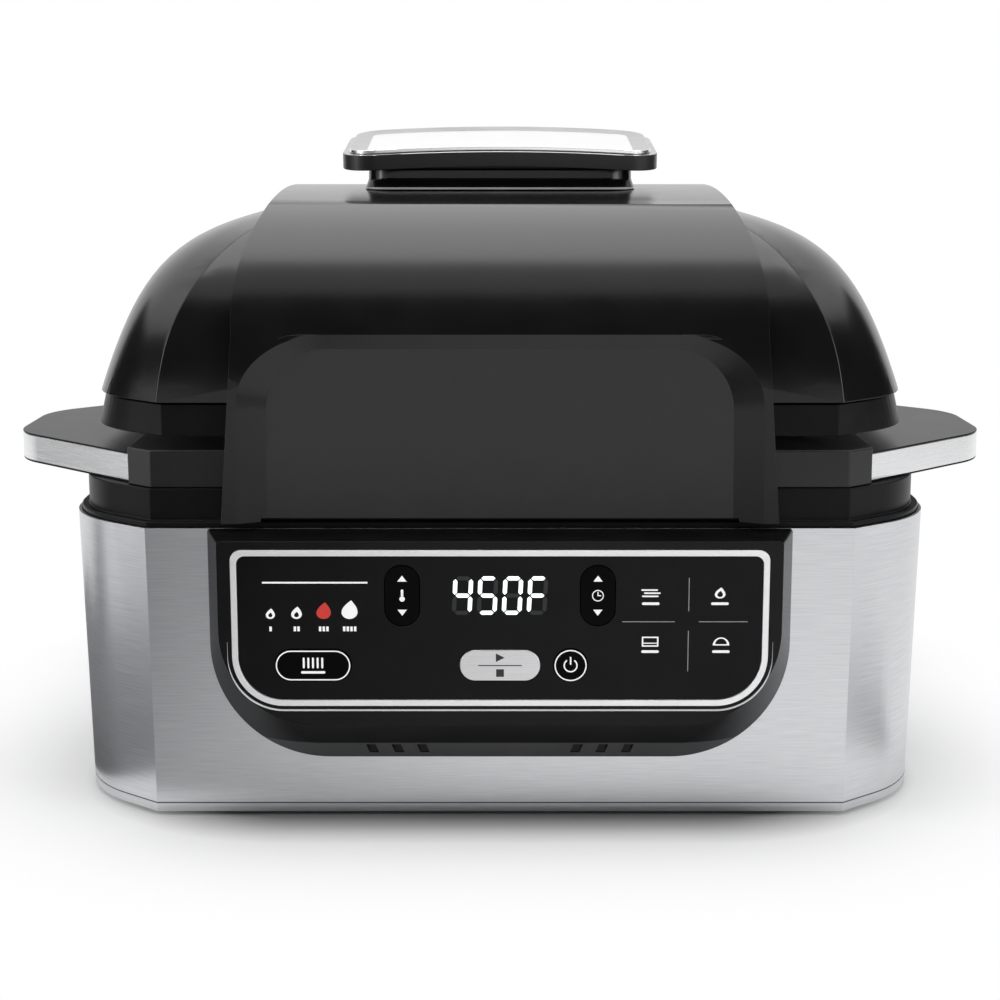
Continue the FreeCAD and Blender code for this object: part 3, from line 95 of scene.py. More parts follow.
# The modes: x and row of each, and the rules between them with their half sizes
MODES = (("air", 61.6, 102.2), ("dry", 89.9, 102.2), ("roast", 61.6, 82.0), ("bake", 90.7, 82.0))
MODE_RULES = (
    ("left", 60.8, 91.0, 10.8, 0.15),
    ("right", 91.4, 91.0, 10.0, 0.15),
    ("upper", 77.2, 102.4, 0.15, 7.0),
    ("lower", 77.2, 78.6, 0.15, 8.6),
)

# Studio
LIGHT_TARGET = (0, 0, 0.12)
WORLD_LIGHT = 0.45
TABLE_CARD_HEIGHT = 0.003
FLOOR_HALF = 12.0
# Floor: the object's foot as a rectangle with round corners, how far out the shadow fades to white, and how
# far and how much a painted contact shadow darkens the floor next to the foot
FOOT_INSET = 0.028
FOOT_CORNER = 0.07
SHADOW_FAR = 0.12
PAINTED_CONTACT_FAR = 0.032
PAINTED_CONTACT_SHADE = 0.28
# Dark card on the table, by its distance to the right of the object's middle: full here, gone there
CARD_DARK = -0.26
CARD_CLEAR = 0.05


# Node helpers

def new_material(name):
    material = bpy.data.materials.new(name)
    material.use_nodes = True
    tree = material.node_tree
    shader = tree.nodes["Principled BSDF"]
    return material, tree, shader


def add_node(tree, kind, **inputs):
    node = tree.nodes.new(kind)
    for name, value in inputs.items():
        node.inputs[name.replace("_", " ")].default_value = value
    return node


def stretched_noise(tree, stretch, scale, detail=4.0):
    """Noise in the object's own space, stretched along each axis."""
    place = tree.nodes.new("ShaderNodeTexCoord")
    mapping = add_node(tree, "ShaderNodeMapping", Scale=stretch)
    noise = add_node(tree, "ShaderNodeTexNoise", Scale=scale, Detail=detail)
    tree.links.new(place.outputs["Object"], mapping.inputs["Vector"])
    tree.links.new(mapping.outputs["Vector"], noise.inputs["Vector"])
    return noise.outputs["Fac"]


def remap(tree, value, low, high, near=0.0, far=1.0, smooth=False):
    """A value that runs from near to far, turned into one that runs from low to high."""
    node = tree.nodes.new("ShaderNodeMapRange")
    if smooth:
        node.interpolation_type = "SMOOTHSTEP"
    node.inputs["From Min"].default_value = near
    node.inputs["From Max"].default_value = far
    node.inputs["To Min"].default_value = low
    node.inputs["To Max"].default_value = high
    tree.links.new(value, node.inputs["Value"])
    return node.outputs["Result"]


def tint(tree, value, dark, light):
    ramp = tree.nodes.new("ShaderNodeValToRGB")
    ramp.color_ramp.elements[0].color = (*dark, 1)
    ramp.color_ramp.elements[0].position = 0.3
    ramp.color_ramp.elements[1].color = (*light, 1)
    ramp.color_ramp.elements[1].position = 0.7
    tree.links.new(value, ramp.inputs["Fac"])
    return ramp.outputs["Color"]


def bump(tree, shader, height, distance):
    node = add_node(tree, "ShaderNodeBump", Strength=1.0, Distance=distance)
    tree.links.new(height, node.inputs["Height"])
    tree.links.new(node.outputs["Normal"], shader.inputs["Normal"])


# Materials

# Noise scales: even in all directions, or stretched into level scratches
EVEN = (1, 1, 1)
LEVEL_SCRATCHES = (60, 60, 2600)
SCRATCH_DEPTH = 0.002 * MM
MOTTLE_SCALE = 60.0
MOTTLE_SPREAD = 0.02
INK_THIN = 0.92


def brushed_metal(name, dark, light, roughness, stretch, spread=0.05, metallic=1.0):
    """Metal with fine parallel scratches, drawn out along the axes that the stretch leaves small."""
    material, tree, shader = new_material(name)
    scratches = stretched_noise(tree, stretch, 1.0, detail=3.0)
    uneven = remap(tree, scratches, roughness - spread, roughness + spread)
    shader.inputs["Metallic"].default_value = metallic
    tree.links.new(tint(tree, scratches, dark, light), shader.inputs["Base Color"])
    tree.links.new(uneven, shader.inputs["Roughness"])
    bump(tree, shader, scratches, SCRATCH_DEPTH)
    return material


def plastic(name, dark, light, roughness, grain_scale, grain_depth, specular=0.5):
    """Moulded plastic with a slight mottle and a fine surface grain."""
    material, tree, shader = new_material(name)
    mottle = stretched_noise(tree, EVEN, MOTTLE_SCALE)
    grain = stretched_noise(tree, EVEN, grain_scale, detail=2.0)
    uneven = remap(tree, mottle, roughness - MOTTLE_SPREAD, roughness + MOTTLE_SPREAD)
    tree.links.new(tint(tree, mottle, dark, light), shader.inputs["Base Color"])
    tree.links.new(uneven, shader.inputs["Roughness"])
    bump(tree, shader, grain, grain_depth)
    shader.inputs["Specular IOR Level"].default_value = specular
    return material


def light_ink(name, colour, strength):
    """Printed or back-lit marks."""
    material, tree, shader = new_material(name)
    grain = stretched_noise(tree, EVEN, 900.0)
    low = tuple(INK_THIN * channel for channel in colour)
    tree.links.new(tint(tree, grain, low, colour), shader.inputs["Base Color"])
    shader.inputs["Roughness"].default_value = 0.5
    if strength:
        shader.inputs["Emission Color"].default_value = (*colour, 1)
        shader.inputs["Emission Strength"].default_value = strength
    return material


# Metals: name, darker and lighter colour, roughness and scratches
STEEL = brushed_metal("brushed_steel", (0.60, 0.61, 0.63), (0.71, 0.72, 0.735), 0.31, LEVEL_SCRATCHES)
BRIGHT_STEEL = brushed_metal("bright_trim", (0.78, 0.79, 0.80), (0.90, 0.905, 0.91), 0.26, LEVEL_SCRATCHES)
# Painted shade: a dark steel for the band round the hem, standing in for a groove's shade
HEM_PAINTED_SHADE = brushed_metal("hem_painted_shade", (0.10, 0.10, 0.105), (0.14, 0.14, 0.145), 0.45, LEVEL_SCRATCHES)
SATIN_SILVER = brushed_metal("satin_silver", (0.66, 0.66, 0.67), (0.76, 0.76, 0.77), 0.34, (60, 4, 2600))
RIM_SILVER = brushed_metal("rim_silver", (0.40, 0.40, 0.41), (0.47, 0.47, 0.48), 0.3, (60, 60, 900))
SHEET_METAL = brushed_metal("sheet_metal", (0.50, 0.50, 0.51), (0.62, 0.62, 0.63), 0.30, (40, 40, 40))
PLATED_STEEL = brushed_metal("plated_steel", (0.38, 0.38, 0.40), (0.50, 0.50, 0.52), 0.38, (60, 60, 60))
SILVER_CAP = brushed_metal(
    "silver_cap", (0.90, 0.90, 0.90), (0.94, 0.94, 0.94), 0.22, (20, 900, 900), spread=0.02)
FRAME_SILVER = brushed_metal(
    "frame_silver", (0.84, 0.84, 0.85), (0.90, 0.90, 0.91), 0.3, (60, 60, 300), spread=0.02, metallic=0.5)

# Plastics and coatings: name, darker and lighter colour, roughness, the grain's fineness and depth, and gloss
GLOSS_BLACK = plastic(
    "gloss_black", (0.0055, 0.0053, 0.0052), (0.0075, 0.0072, 0.007), 0.2, 700.0, 0.002 * MM, 0.4)
BEZEL_BLACK = plastic(
    "bezel_black", (0.004, 0.004, 0.0045), (0.006, 0.006, 0.0065), 0.2, 700.0, 0.002 * MM, 0.16)
PANEL_BLACK = plastic(
    "panel_black", (0.0035, 0.0035, 0.004), (0.005, 0.005, 0.0055), 0.16, 900.0, 0.001 * MM, 0.12)
KEY_BLACK = plastic(
    "key_black", (0.002, 0.002, 0.0025), (0.003, 0.003, 0.0035), 0.24, 900.0, 0.002 * MM, 0.03)
SATIN_BLACK = plastic(
    "satin_black", (0.007, 0.007, 0.0075), (0.010, 0.010, 0.0105), 0.32, 1500.0, 0.006 * MM, 0.4)
COLLAR_BLACK = plastic(
    "collar_black", (0.004, 0.004, 0.0045), (0.006, 0.006, 0.0065), 0.36, 1500.0, 0.006 * MM, 0.12)
HANDLE_BLACK = plastic(
    "handle_black", (0.005, 0.005, 0.0055), (0.007, 0.007, 0.0075), 0.36, 1500.0, 0.006 * MM, 0.14)
RECESS_GREY = plastic(
    "recess_grey", (0.013, 0.013, 0.0125), (0.016, 0.016, 0.0155), 0.2, 1500.0, 0.002 * MM, 0.45)
# Painted reflection: a lighter grey for the bezel's underside, standing for the pale floor it faces
BEZEL_PAINTED_REFLECTION = plastic(
    "bezel_painted_reflection", (0.050, 0.051, 0.053), (0.058, 0.059, 0.061), 0.4, 700.0, 0.003 * MM, 0.2)
# Painted highlight: a light grey for thin beads that stand for edge glints on black gloss
PAINTED_HIGHLIGHT = plastic("painted_highlight", (0.60, 0.60, 0.61), (0.70, 0.70, 0.71), 0.3, 900.0, 0.001 * MM)
MATT_BLACK = plastic("matt_black", (0.012, 0.012, 0.013), (0.017, 0.017, 0.018), 0.5, 1800.0, 0.02 * MM)
RUBBER = plastic("rubber", (0.012, 0.012, 0.012), (0.02, 0.02, 0.02), 0.75, 1200.0, 0.03 * MM)
CERAMIC = plastic("ceramic_coating", (0.016, 0.016, 0.017), (0.026, 0.026, 0.027), 0.42, 2200.0, 0.02 * MM)
BOARD_GREEN = plastic("circuit_board", (0.01, 0.06, 0.025), (0.02, 0.09, 0.035), 0.45, 600.0, 0.02 * MM)
DISPLAY_BLACK = plastic(
    "display_black", (0.004, 0.004, 0.0045), (0.006, 0.006, 0.0065), 0.2, 600.0, 0.002 * MM)

# Inks: name, colour and glow
WHITE_INK = light_ink("white_ink", (0.86, 0.86, 0.86), 0.25)
LIT_SEGMENT = light_ink("lit_segment", (0.86, 0.93, 0.94), 1.0)
DIM_SEGMENT = light_ink("dim_segment", (0.012, 0.014, 0.015), 0.0)
RED_INK = light_ink("red_ink", (0.56, 0.030, 0.020), 0.2)
GREY_INK = light_ink("grey_ink", (0.30, 0.30, 0.31), 0.1)
DARK_INK = light_ink("dark_ink", (0.02, 0.02, 0.02), 0.0)


# Carried-over CAD nodes

CREASES = {"control_bezel": (BEZEL_CREASE,), "steel_wrap": HEM_SHADE_HEIGHTS}


def link(piece):
    scene.collection.objects.link(piece)
    return piece


def smooth_faces(mesh):
    mesh.polygons.foreach_set("use_smooth", [True] * len(mesh.polygons))
    mesh.set_sharp_from_angle(angle=SEAM_ANGLE)


def softened(node, body, material, edge):
    """A copy of a CAD node with its sharp edges rounded, standing for the node."""
    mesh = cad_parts[node].data.copy()
    mesh.name = node + "_finish"
    shape = bmesh.new()
    shape.from_mesh(mesh)
    bmesh.ops.remove_doubles(shape, verts=shape.verts, dist=WELD)
    bmesh.ops.dissolve_limit(shape, angle_limit=FLAT_ANGLE, verts=shape.verts, edges=shape.edges)
    for height in CREASES.get(node, ()):
        everything = shape.verts[:] + shape.edges[:] + shape.faces[:]
        bmesh.ops.bisect_plane(shape, geom=everything, plane_co=(0, 0, height), plane_no=(0, 0, 1))
    shape.to_mesh(mesh)
    shape.free()
    mesh.materials.clear()
    mesh.materials.append(material)
    smooth_faces(mesh)
    piece = link(bpy.data.objects.new(node + "_finish", mesh))
    rounding = piece.modifiers.new("edge", "BEVEL")
    rounding.width = edge
    rounding.segments = EDGE_SEGMENTS
    rounding.limit_method = "ANGLE"
    rounding.angle_limit = SEAM_ANGLE
    rounding.harden_normals = True
    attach(piece, body)
    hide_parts(node)
    return piece


def painted(node, material):
    """A CAD node kept as it is, with its finish."""
    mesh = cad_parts[node].data
    mesh.materials.clear()
    mesh.materials.append(material)
    smooth_faces(mesh)


SOFTENED = {
    "base": {
        "steel_wrap": (STEEL, 0.3 * MM),
        "rear_cover": (MATT_BLACK, 0.5 * MM),
        "upper_collar": (COLLAR_BLACK, 0.6 * MM),
        "deck_ring": (SATIN_BLACK, 0.8 * MM),
        "handle_left": (HANDLE_BLACK, 0.6 * MM),
        "handle_right": (HANDLE_BLACK, 0.6 * MM),
        "handle_trim_left": (BRIGHT_STEEL, 0.25 * MM),
        "handle_trim_right": (BRIGHT_STEEL, 0.25 * MM),
        "control_bezel": (BEZEL_BLACK, 0.8 * MM),
        "panel_frame": (FRAME_SILVER, 0.2 * MM),
        "touch_panel": (PANEL_BLACK, 0.1 * MM),
        "cooking_pot": (CERAMIC, 0.6 * MM),
        "grill_grate": (CERAMIC, 0.6 * MM),
    },
    "lid": {
        "lid_shell": (GLOSS_BLACK, 0.5 * MM),
        "lid_band": (GLOSS_BLACK, 0.8 * MM),
        "lid_ring": (COLLAR_BLACK, 0.8 * MM),
        "handle_neck": (GLOSS_BLACK, 0.8 * MM),
        "handle_grip": (SATIN_BLACK, 1.2 * MM),
        "handle_plate": (SILVER_CAP, 0.3 * MM),
        "lid_liner": (SHEET_METAL, 0.5 * MM),
        "splatter_shield": (SHEET_METAL, 0.2 * MM),
    },
    "start_stop": {"start_stop_button": (SATIN_SILVER, 0.35 * MM)},
    "grill_key": {"grill_button": (KEY_BLACK, 0.25 * MM)},
    "power_key": {"power_button": (KEY_BLACK, 0.25 * MM)},
    "temperature_key": {"temperature_rocker": (KEY_BLACK, 0.2 * MM)},
    "time_key": {"time_rocker": (KEY_BLACK, 0.2 * MM)},
}
PAINTED = {
    MATT_BLACK: ["base_tray"],
    RUBBER: ["rubber_feet", "lid_gasket", "cord_gland"],
    SHEET_METAL: ["chamber_liner", "convection_fan"],
    PLATED_STEEL: [
        "tray_screws", "motor_screws", "hinge_pin_left", "hinge_pin_right", "motor_shaft", "fan_nut",
        "temperature_probe", "heating_element", "fan_motor", "hinge_bracket_left", "hinge_bracket_right",
        "hinge_arm_left", "hinge_arm_right",
    ],
    BOARD_GREEN: ["control_board", "power_board"],
    DISPLAY_BLACK: ["display_module"],
}


def leaning(angle):
    """The direction that a face leaning back by an angle looks in, from the front."""
    return Vector((0, -math.cos(angle), math.sin(angle)))


def refinish(piece, material, chosen):
    """Gives some of a piece's faces a finish of their own."""
    piece.data.materials.append(material)
    for face in piece.data.polygons:
        if chosen(face):
            face.material_index = len(piece.data.materials) - 1


def dish_plate(plate, up):
    """Sinks the middle of the lid handle's plate a little, inside a grey sloping rim."""
    plate.data.materials.append(RIM_SILVER)
    shape = bmesh.new()
    shape.from_mesh(plate.data)
    top = [face for face in shape.faces if face.normal.dot(up) > CROWNED]
    rim = bmesh.ops.inset_region(
        shape, faces=top, thickness=DISH_RIM, depth=-DISH_DEPTH, use_even_offset=True)
    for face in rim["faces"]:
        face.material_index = len(plate.data.materials) - 1
    shape.to_mesh(plate.data)
    shape.free()


def finish_details(pieces):
    """Second finishes and painted light: the lid's recess, the lid handle's rim, a painted reflection under
    the bezel, and painted shade for the groove in the hem.
    """
    band = pieces["lid_band"]
    front = leaning(math.radians(LID_LEAN))
    facing = [face for face in band.data.polygons if face.normal.dot(front) > FACING]
    outermost = max(face.center.dot(front) for face in facing)
    refinish(band, RECESS_GREY, lambda face: face.normal.dot(front) > FACING
             and face.center.dot(front) < outermost - RECESS_LEAST)

    up = leaning(math.radians(90 - GRIP_TILT))
    refinish(pieces["handle_grip"], RIM_SILVER, lambda face: face.normal.dot(up) > CROWNED)
    dish_plate(pieces["handle_plate"], up)

    # Painted reflection: the bezel's low, downward faces get the lighter grey
    refinish(pieces["control_bezel"], BEZEL_PAINTED_REFLECTION, lambda face: face.normal.y < 0
             and face.normal.z < BEZEL_UNDER and face.center.z < BEZEL_CREASE)
    # Painted shade: the band round the hem gets the dark steel
    low, high = HEM_SHADE_HEIGHTS
    refinish(pieces["steel_wrap"], HEM_PAINTED_SHADE, lambda face: low < face.center.z < high)


def dress_cad():
    """Gives every CAD node its finish, and rounds the edges of those that show."""
    pieces = {}
    for body, nodes in SOFTENED.items():
        for node, (material, edge) in nodes.items():
            pieces[node] = softened(node, body, material, edge)
    finish_details(pieces)
    for material, nodes in PAINTED.items():
        for node in nodes:
            painted(node, material)


# Marks on the control panel. Outlines are in millimetres, x to the right and z up.

def ring_points(x, z, radius, start=0.0, sweep=360.0, count=48):
    turns = count if sweep >= 360 else count + 1
    angles = [math.radians(start + sweep * step / count) for step in range(turns)]
    return [(x + radius * math.cos(angle), z + radius * math.sin(angle)) for angle in angles]


def pill_points(x, z, half_x, half_z):
    """A slot with round ends."""
    short = min(half_x, half_z)
    reach_x, reach_z = half_x - short, half_z - short
    right = ring_points(x + reach_x, z + reach_z, short, -90 if reach_x else 0, 180, 24)
    left = ring_points(x - reach_x, z - reach_z, short, 90 if reach_x else 180, 180, 24)
    return right + left


def bar_points(x, z, half_x, half_z):
    left, right, low, high = x - half_x, x + half_x, z - half_z, z + half_z
    return [(left, low), (right, low), (right, high), (left, high)]


def mark(name, loops, face, material, body):
    """A thin printed mark on a face that looks towards -Y; a loop inside another is a hole."""
    curve = bpy.data.curves.new(name, "CURVE")
    curve.dimensions = "2D"
    curve.fill_mode = "BOTH"
    curve.extrude = INK_THICKNESS / 2
    for loop in loops:
        spline = curve.splines.new("POLY")
        spline.points.add(len(loop) - 1)
        for point, (x, z) in zip(spline.points, loop):
            point.co = (x * MM, z * MM, 0, 1)
        spline.use_cyclic_u = True
    drawing = link(bpy.data.objects.new(name + "_curve", curve))
    drawing.rotation_euler = (math.pi / 2, 0, 0)
    drawing.location = (0, face - INK_THICKNESS / 2, 0)
    bpy.context.view_layer.update()
    filled = drawing.evaluated_get(bpy.context.evaluated_depsgraph_get())
    mesh = bpy.data.meshes.new_from_object(filled)
    mesh.transform(drawing.matrix_world)
    bpy.data.objects.remove(drawing)
    mesh.materials.clear()
    mesh.materials.append(material)
    piece = link(bpy.data.objects.new(name, mesh))
    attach(piece, body)


SEGMENTS = {
    "a": ((0.0, 1.0), (1.0, 1.0)), "b": ((1.0, 1.0), (1.0, 0.5)), "c": ((1.0, 0.5), (1.0, 0.0)),
    "d": ((0.0, 0.0), (1.0, 0.0)), "e": ((0.0, 0.5), (0.0, 0.0)), "f": ((0.0, 1.0), (0.0, 0.5)),
    "g": ((0.0, 0.5), (1.0, 0.5)),
}
LIT = {"4": "bcfg", "5": "acdfg", "0": "abcdef", "F": "aefg"}


def segment_points(start, end, half, gap):
    """A bar with pointed ends between two places."""
    along = (end - start).normalized()
    across = Vector((-along.y, along.x)) * half
    first, last = start + along * gap, end - along * gap
    taper = along * half
    corners = [
        first, first + taper - across, last - taper - across,
        last, last - taper + across, first + taper + across,
    ]
    return [(corner.x, corner.y) for corner in corners]


def readout(face):
    """Slanted figures of seven bars each, with the bars that aren't lit just visible."""
    width, height, pitch, half, gap = 6.4, 14.4, 10.2, 0.85, 0.35
    slant = 0.05
    lit, dim = [], []
    for place, character in enumerate(READOUT):
        left = (place - (len(READOUT) - 1) / 2) * pitch - width / 2
        for name, ends in SEGMENTS.items():
            corners = []
            for x, z in ends:
                rise = (z - 0.5) * height
                corners.append(Vector((left + x * width + slant * rise, READOUT_ROW + rise)))
            bars = lit if name in LIT[character] else dim
            bars.append(segment_points(*corners, half, gap))
    mark("readout_lit", lit, face, LIT_SEGMENT, "base")
    mark("readout_unlit", dim, face, DIM_SEGMENT, "base")


def flame_points(x, base, height, wide=0.34):
    """A plain flame: a round foot drawn up to one leaning tip."""
    steps, shoulder, tip, belly, lean = 36, 1.6, 0.55, 1.45, 0.10
    points = []
    for step in range(steps):
        turn = 2 * math.pi * step / steps
        rise = (1 - math.cos(turn)) / 2
        girth = math.sin(turn) * wide * height * (1 - rise ** shoulder) ** tip * belly
        points.append((x + girth + lean * height * rise ** 3, base + height * rise))
    return points


def panel_marks():
    """The readout, the flames with their levels and rule, and the modes with the rules between them."""
    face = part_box("touch_panel")[0].y
    readout(face)
    for number, (x, height) in enumerate(FLAMES, start=1):
        colour = RED_INK if number == RED_FLAME else WHITE_INK
        loops = [flame_points(x, FLAME_ROW, height)]
        if number < RED_FLAME:
            loops.append(flame_points(x, FLAME_HEART_ROW, height * 0.45))
        mark(f"heat_{number}", loops, face, colour, "base")
        first = x - (number - 1) / 2 * LEVEL_PITCH
        levels = [bar_points(first + step * LEVEL_PITCH, LEVEL_ROW, 0.5, 1.0) for step in range(number)]
        mark(f"heat_level_{number}", levels, face, WHITE_INK, "base")
    mark("heading_rule", [bar_points(*HEADING_RULE)], face, WHITE_INK, "base")
    for name, x, z in MODES:
        mark(f"mode_bar_{name}", [pill_points(x, z - 3.6, 3.6, 0.55)], face, WHITE_INK, "base")
        mark(f"mode_icon_{name}", mode_icon(name, x, z + 0.6), face, WHITE_INK, "base")
    for name, *rule in MODE_RULES:
        mark(f"mode_rule_{name}", [bar_points(*rule)], face, GREY_INK, "base")


def mode_icon(name, x, z):
    """Plain pictograms: blown air, a drop, an oven rack and a loaf."""
    if name == "air":
        streams = ((-0.5, 1.5), (0.6, 0.2), (-0.2, -1.1))
        return [pill_points(x + shift, z + rise, 3.4, 0.32) for shift, rise in streams]
    if name == "dry":
        return [flame_points(x, z - 2.0, 4.6, 0.38), flame_points(x, z - 1.4, 2.6, 0.36)]
    if name == "roast":
        return [bar_points(x, z, 3.4, 2.1), bar_points(x, z + 0.55, 2.8, 1.0),
                bar_points(x, z - 1.2, 2.8, 0.35)]
    return [ring_points(x, z - 1.6, 3.4, 0, 180, 24), ring_points(x, z - 1.1, 2.4, 0, 180, 24)]


def bead(name, points, radius, body):
    """A thin light bead along a line of places, drawn out fine at both ends: a painted highlight that stands
    for the glint on an edge of black gloss.
    """
    curve = bpy.data.curves.new(name, "CURVE")
    curve.dimensions = "3D"
    curve.bevel_depth = radius
    curve.bevel_resolution = 4
    curve.use_fill_caps = True
    spline = curve.splines.new("POLY")
    spline.points.add(len(points) - 1)
    taper = 14
    for number, (point, place) in enumerate(zip(spline.points, points)):
        point.co = (*place, 1)
        point.radius = min(1.0, 0.1 + min(number, len(points) - 1 - number) / taper)
    curve.materials.append(PAINTED_HIGHLIGHT)
    piece = link(bpy.data.objects.new(name, curve))
    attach(piece, body)


def bezel_highlight_line():
    """A painted highlight in the bezel, under the panel's bright frame and up round its lower corners, for
    the glint on the edge of the bezel's face.
    """
    low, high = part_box("panel_frame")
    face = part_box("control_bezel")[0].y
    outset, corner, tail = 1.9, 22.9, 6.0
    half, bottom = high.x / MM + outset, low.z / MM - outset
    rise = bottom + corner
    points = [(-half, rise + tail)] + ring_points(corner - half, rise, corner, 180, 90, 24)
    points += ring_points(half - corner, rise, corner, 270, 90, 24) + [(half, rise + tail)]
    bead("bezel_highlight_line", [(x * MM, face, z * MM) for x, z in points], 0.4 * MM, "base")


def neck_highlight_line():
    """A painted highlight along the front of the lid handle's foot and round its corners, for the glint on
    the foot's edge.
    """
    low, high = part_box("handle_neck")
    corner, sunk, lift = 14.0, 0.2, 1.0 * MM
    half, front = high.x / MM - sunk, low.y / MM + sunk
    points = ring_points(corner - half, front + corner, corner, 180, 90, 24)
    points += ring_points(half - corner, front + corner, corner, 270, 90, 24)
    bead("neck_highlight_line", [(x * MM, y * MM, low.z + lift) for x, y in points], 0.55 * MM, "lid")


def key_marks():
    start_stop_marks()
    grill_marks()
    power_marks()
    rocker_marks()


def start_stop_marks():
    """A play sign and a stop sign with a rule between them."""
    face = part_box("start_stop_button")[0].y
    play = [(-1.7, KEY_ROW + 1.5), (1.9, KEY_ROW + 3.3), (-1.7, KEY_ROW + 5.1)]
    mark("start_symbol", [play], face, DARK_INK, "start_stop")
    mark("start_rule", [bar_points(0, KEY_ROW, 9.0, 0.2)], face, DARK_INK, "start_stop")
    mark("stop_symbol", [bar_points(0, KEY_ROW - 3.2, 1.6, 1.6)], face, DARK_INK, "start_stop")


def grill_marks():
    """An outlined key with the bars of a grate over a light."""
    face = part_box("grill_button")[0].y
    outline = [pill_points(GRILL_KEY_X, KEY_ROW, 15.3, 6.3), pill_points(GRILL_KEY_X, KEY_ROW, 14.8, 5.8)]
    bars = [pill_points(GRILL_KEY_X + step * 1.9, KEY_ROW + 1.1, 0.4, 2.3) for step in range(-2, 3)]
    mark("grill_outline", outline, face, WHITE_INK, "grill_key")
    mark("grill_bars", bars, face, WHITE_INK, "grill_key")
    mark("grill_light", [pill_points(GRILL_KEY_X, KEY_ROW - 2.9, 5.0, 0.5)], face, WHITE_INK, "grill_key")


def power_marks():
    """A ring round the key, and in it an open ring with a stroke."""
    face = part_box("power_button")[0].y
    outline = [ring_points(POWER_KEY_X, KEY_ROW, 6.6), ring_points(POWER_KEY_X, KEY_ROW, 6.1)]
    outer, inner = [ring_points(POWER_KEY_X, KEY_ROW, radius, 125, 290, 40) for radius in (2.9, 2.35)]
    mark("power_outline", outline, face, WHITE_INK, "power_key")
    mark("power_arc", [outer + inner[::-1]], face, WHITE_INK, "power_key")
    mark("power_stroke", [pill_points(POWER_KEY_X, KEY_ROW + 2.0, 0.3, 1.7)], face, WHITE_INK, "power_key")


def rocker_marks():
    """An arrow up, an arrow down and a sign between them on each rocker."""
    half, near, far = 1.9, 5.9, 8.4
    for name, body, x in ROCKERS:
        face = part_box(name + "_rocker")[0].y
        for way, sign in (("up", 1), ("down", -1)):
            tip, foot = READOUT_ROW + sign * far, READOUT_ROW + sign * near
            mark(f"{name}_{way}", [[(x - half, foot), (x + half, foot), (x, tip)]], face, WHITE_INK, body)
        mark(f"{name}_icon", rocker_icon(name, x, READOUT_ROW), face, WHITE_INK, body)


def rocker_icon(name, x, z):
    """A thermometer, or a clock face with its hands."""
    if name == "time":
        return [ring_points(x, z, 2.4), ring_points(x, z, 2.0), bar_points(x, z + 0.7, 0.2, 0.9),
                bar_points(x + 0.75, z, 0.6, 0.2)]
    return [ring_points(x, z - 1.4, 1.1), pill_points(x, z + 1.1, 0.5, 1.5)]


# Stage, lights and camera

def seen_directly(tree):
    """1 for rays that show a surface to the eye: straight, or by way of metal, gloss or glass."""
    path = tree.nodes.new("ShaderNodeLightPath")
    total = path.outputs["Is Camera Ray"]
    for ray in ("Is Glossy Ray", "Is Transmission Ray"):
        either = tree.nodes.new("ShaderNodeMath")
        either.operation = "MAXIMUM"
        tree.links.new(total, either.inputs[0])
        tree.links.new(path.outputs[ray], either.inputs[1])
        total = either.outputs["Value"]
    return total


def foot_distance(tree):
    """How far a place on the floor is from a rectangle, a corner's radius inside the object's foot."""
    low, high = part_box("steel_wrap")
    inner = (high.x - FOOT_INSET - FOOT_CORNER, -low.y - FOOT_CORNER, 0)
    value = tree.nodes.new("ShaderNodeTexCoord").outputs["Object"]
    steps = (("ABSOLUTE", None), ("SUBTRACT", inner), ("MAXIMUM", (0, 0, 0)), ("LENGTH", None))
    for operation, other in steps:
        step = tree.nodes.new("ShaderNodeVectorMath")
        step.operation = operation
        if other:
            step.inputs[1].default_value = other
        tree.links.new(value, step.inputs[0])
        value = step.outputs["Value" if operation == "LENGTH" else "Vector"]
    return value


def floor_material():
    """A pale floor that keeps the object's shadow near it and runs out to white; right next to the foot its
    colour is darkened further by a painted contact shadow.
    """
    material, tree, shader = new_material("pale_floor")
    mottle = stretched_noise(tree, EVEN, 3.0)
    distance = foot_distance(tree)
    # Painted contact shadow: the floor's colour is scaled down next to the foot
    painted_contact_shade = remap(tree, distance, PAINTED_CONTACT_SHADE, 1.0, FOOT_CORNER, FOOT_CORNER + PAINTED_CONTACT_FAR)
    shade = tree.nodes.new("ShaderNodeVectorMath")
    shade.operation = "SCALE"
    tree.links.new(tint(tree, mottle, (0.84, 0.84, 0.84), (0.86, 0.86, 0.86)), shade.inputs[0])
    tree.links.new(painted_contact_shade, shade.inputs["Scale"])
    tree.links.new(shade.outputs["Vector"], shader.inputs["Base Color"])
    shader.inputs["Roughness"].default_value = 0.7
    shader.inputs["Specular IOR Level"].default_value = 0.1
    white = tree.nodes.new("ShaderNodeEmission")
    white.inputs["Strength"].default_value = 1.0
    clear = remap(tree, distance, 0.0, 1.0, FOOT_CORNER, FOOT_CORNER + SHADOW_FAR)
    share = tree.nodes.new("ShaderNodeMath")
    share.operation = "MULTIPLY"
    tree.links.new(clear, share.inputs[0])
    tree.links.new(seen_directly(tree), share.inputs[1])
    mix = tree.nodes.new("ShaderNodeMixShader")
    tree.links.new(share.outputs["Value"], mix.inputs["Fac"])
    tree.links.new(shader.outputs["BSDF"], mix.inputs[1])
    tree.links.new(white.outputs["Emission"], mix.inputs[2])
    tree.links.new(mix.outputs["Shader"], tree.nodes["Material Output"].inputs["Surface"])
    return material


